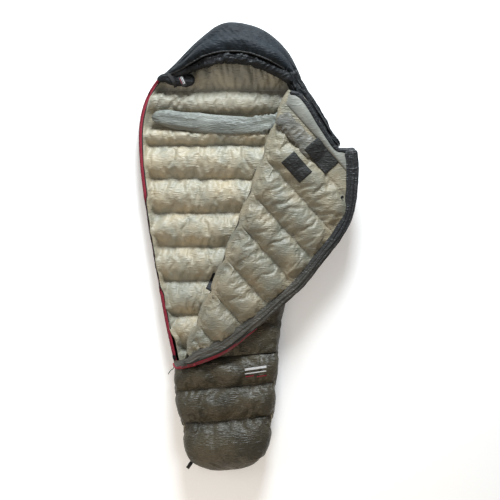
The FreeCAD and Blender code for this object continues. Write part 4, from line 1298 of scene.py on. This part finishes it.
# the draft collar, the neck, the pocket and the dark patch
stand_in(finer(neck_rim()), "flap", ())
collar, lobe = draft_collar()
stand_in(finer(collar), "bag", ["back_collar"])
stand_in(finer(lobe), "flap", ["flap_collar"])
stand_in(finer(neck_panel()), "flap", ())
pocket = plan_patch("inner_pocket", (231, 374), 129, 80, flap_top, PATCH)
stand_in(finer(pocket), "flap", ["flap_pocket"])
lobe_points = points_of(lobe)
both = np.concatenate([flap_top.reshape(-1, 3), lobe_points[lobe_points[:, 2] > 150]])
patch = plan_patch("collar_end_patch", (350, 430), 155, 88, both, PATCH, lift=3.5)
stand_in(finer(patch), "flap", ["collar_patch"])

# the hood and the roll beside the neck
crown_shell, crown_inside, crown_seam = crown()
stand_in(finer(crown_shell), "hood", ["hood_crown_shell", "hood_crown_down"])
stand_in(crown_inside, "hood", ["hood_crown_lining"])
stand_in(finer(brim()), "hood", ["hood_brim", "brim_drawcord"])
piping = tube("hood_piping", crown_seam[4:-4] + (0, 0, 1.0), 4.0, 4.0, BLACK, columns=10, end=10)
stand_in(piping, "hood")
stand_in(finer(neck_roll()), "hood", ["neck_side_roll"])

# the body's zip, its garage, label and strap
red, black, body_teeth = body_zip()
stand_in(red, "hood", ["body_zip_tape"])
stand_in(black, "hood", ["body_zip_guard"])
stand_in(body_teeth, "hood", ["body_zip_coil"])
for node in ("zip_bottom_stop", "zip_top_stop", "zip_slider", "zip_pull", "press_stud"):
    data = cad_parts[node].data
    data.materials.clear()
    data.materials.append(METAL)
stand_in(finer(garage()), "hood", ["zip_garage"])
label = label_strip("garage_label_cloth", 60, 24, 0, 99.5, LABEL)
stand_in(label, "hood", ["garage_label"])
for n, (offset, wide, run, colour) in enumerate([
    (5, 4.5, 38, MARK), (-1.5, 1.8, 38, MARK), (-7, 2.2, 30, RED),
]):
    bar = label_strip(f"garage_label_bar_{n}", run, wide, offset, 100.3, colour)
    stand_in(bar, "hood")
stand_in(closure_strap(), "hood", ["closure_strap"])

# the hang loop and the pull's cord
stand_in(foot_loop(), "bag", ["foot_hang_loop"])
pull_cord = cord()
stand_in(pull_cord, "zip_pull", ["zip_pull_cord"])

# ---------------------------------------------------------------- floor, light and camera
FLOOR = plain("floor_white", (0.93, 0.93, 0.93), rough=0.9)
FLOOR.node_tree.nodes["Principled BSDF"].inputs["Emission Color"].default_value = (1, 1, 1, 1)
FLOOR.node_tree.nodes["Principled BSDF"].inputs["Emission Strength"].default_value = 0.22
FLOOR_HALF, FLOOR_LEVEL = 15000, -0.5
corners = [(x * FLOOR_HALF, y * FLOOR_HALF, FLOOR_LEVEL) for x, y in ((-1, -1), (1, -1), (1, 1), (-1, 1))]
make_mesh("floor", corners, [(0, 1, 2, 3)], FLOOR)


def lamp(name, place, size, power, colour):
    """A square light that points at the middle of the bag."""
    data = bpy.data.lights.new(name, "AREA")
    data.size = size
    data.energy = power
    data.color = colour
    obj = bpy.data.objects.new(name, data)
    obj.location = place
    obj.rotation_mode = "QUATERNION"
    obj.rotation_quaternion = (-Vector(place)).to_track_quat("-Z", "Y")
    bpy.context.scene.collection.objects.link(obj)


lamp("key", (0.3, 3.4, 1.8), 1.3, 275, (0.88, 0.95, 1.0))
lamp("fill", (-0.8, -3.2, 1.8), 1.8, 40, (1.0, 0.80, 0.56))
lamp("left", (-3.2, 0.2, 2.2), 1.6, 22, (1.0, 0.98, 0.95))
world = bpy.data.worlds.new("studio")
bpy.context.scene.world = world
world.use_nodes = True
background = world.node_tree.nodes["Background"]
background.inputs["Color"].default_value = (1, 1, 1, 1)
background.inputs["Strength"].default_value = 0.27
bpy.context.scene.view_settings.view_transform = "Standard"

camera_data = bpy.data.cameras.new("Camera")
camera = bpy.data.objects.new("Camera", camera_data)
bpy.context.scene.collection.objects.link(camera)
bpy.context.scene.camera = camera
camera_data.lens = 90.4
camera.location = (0.011, -0.016, 6.08)
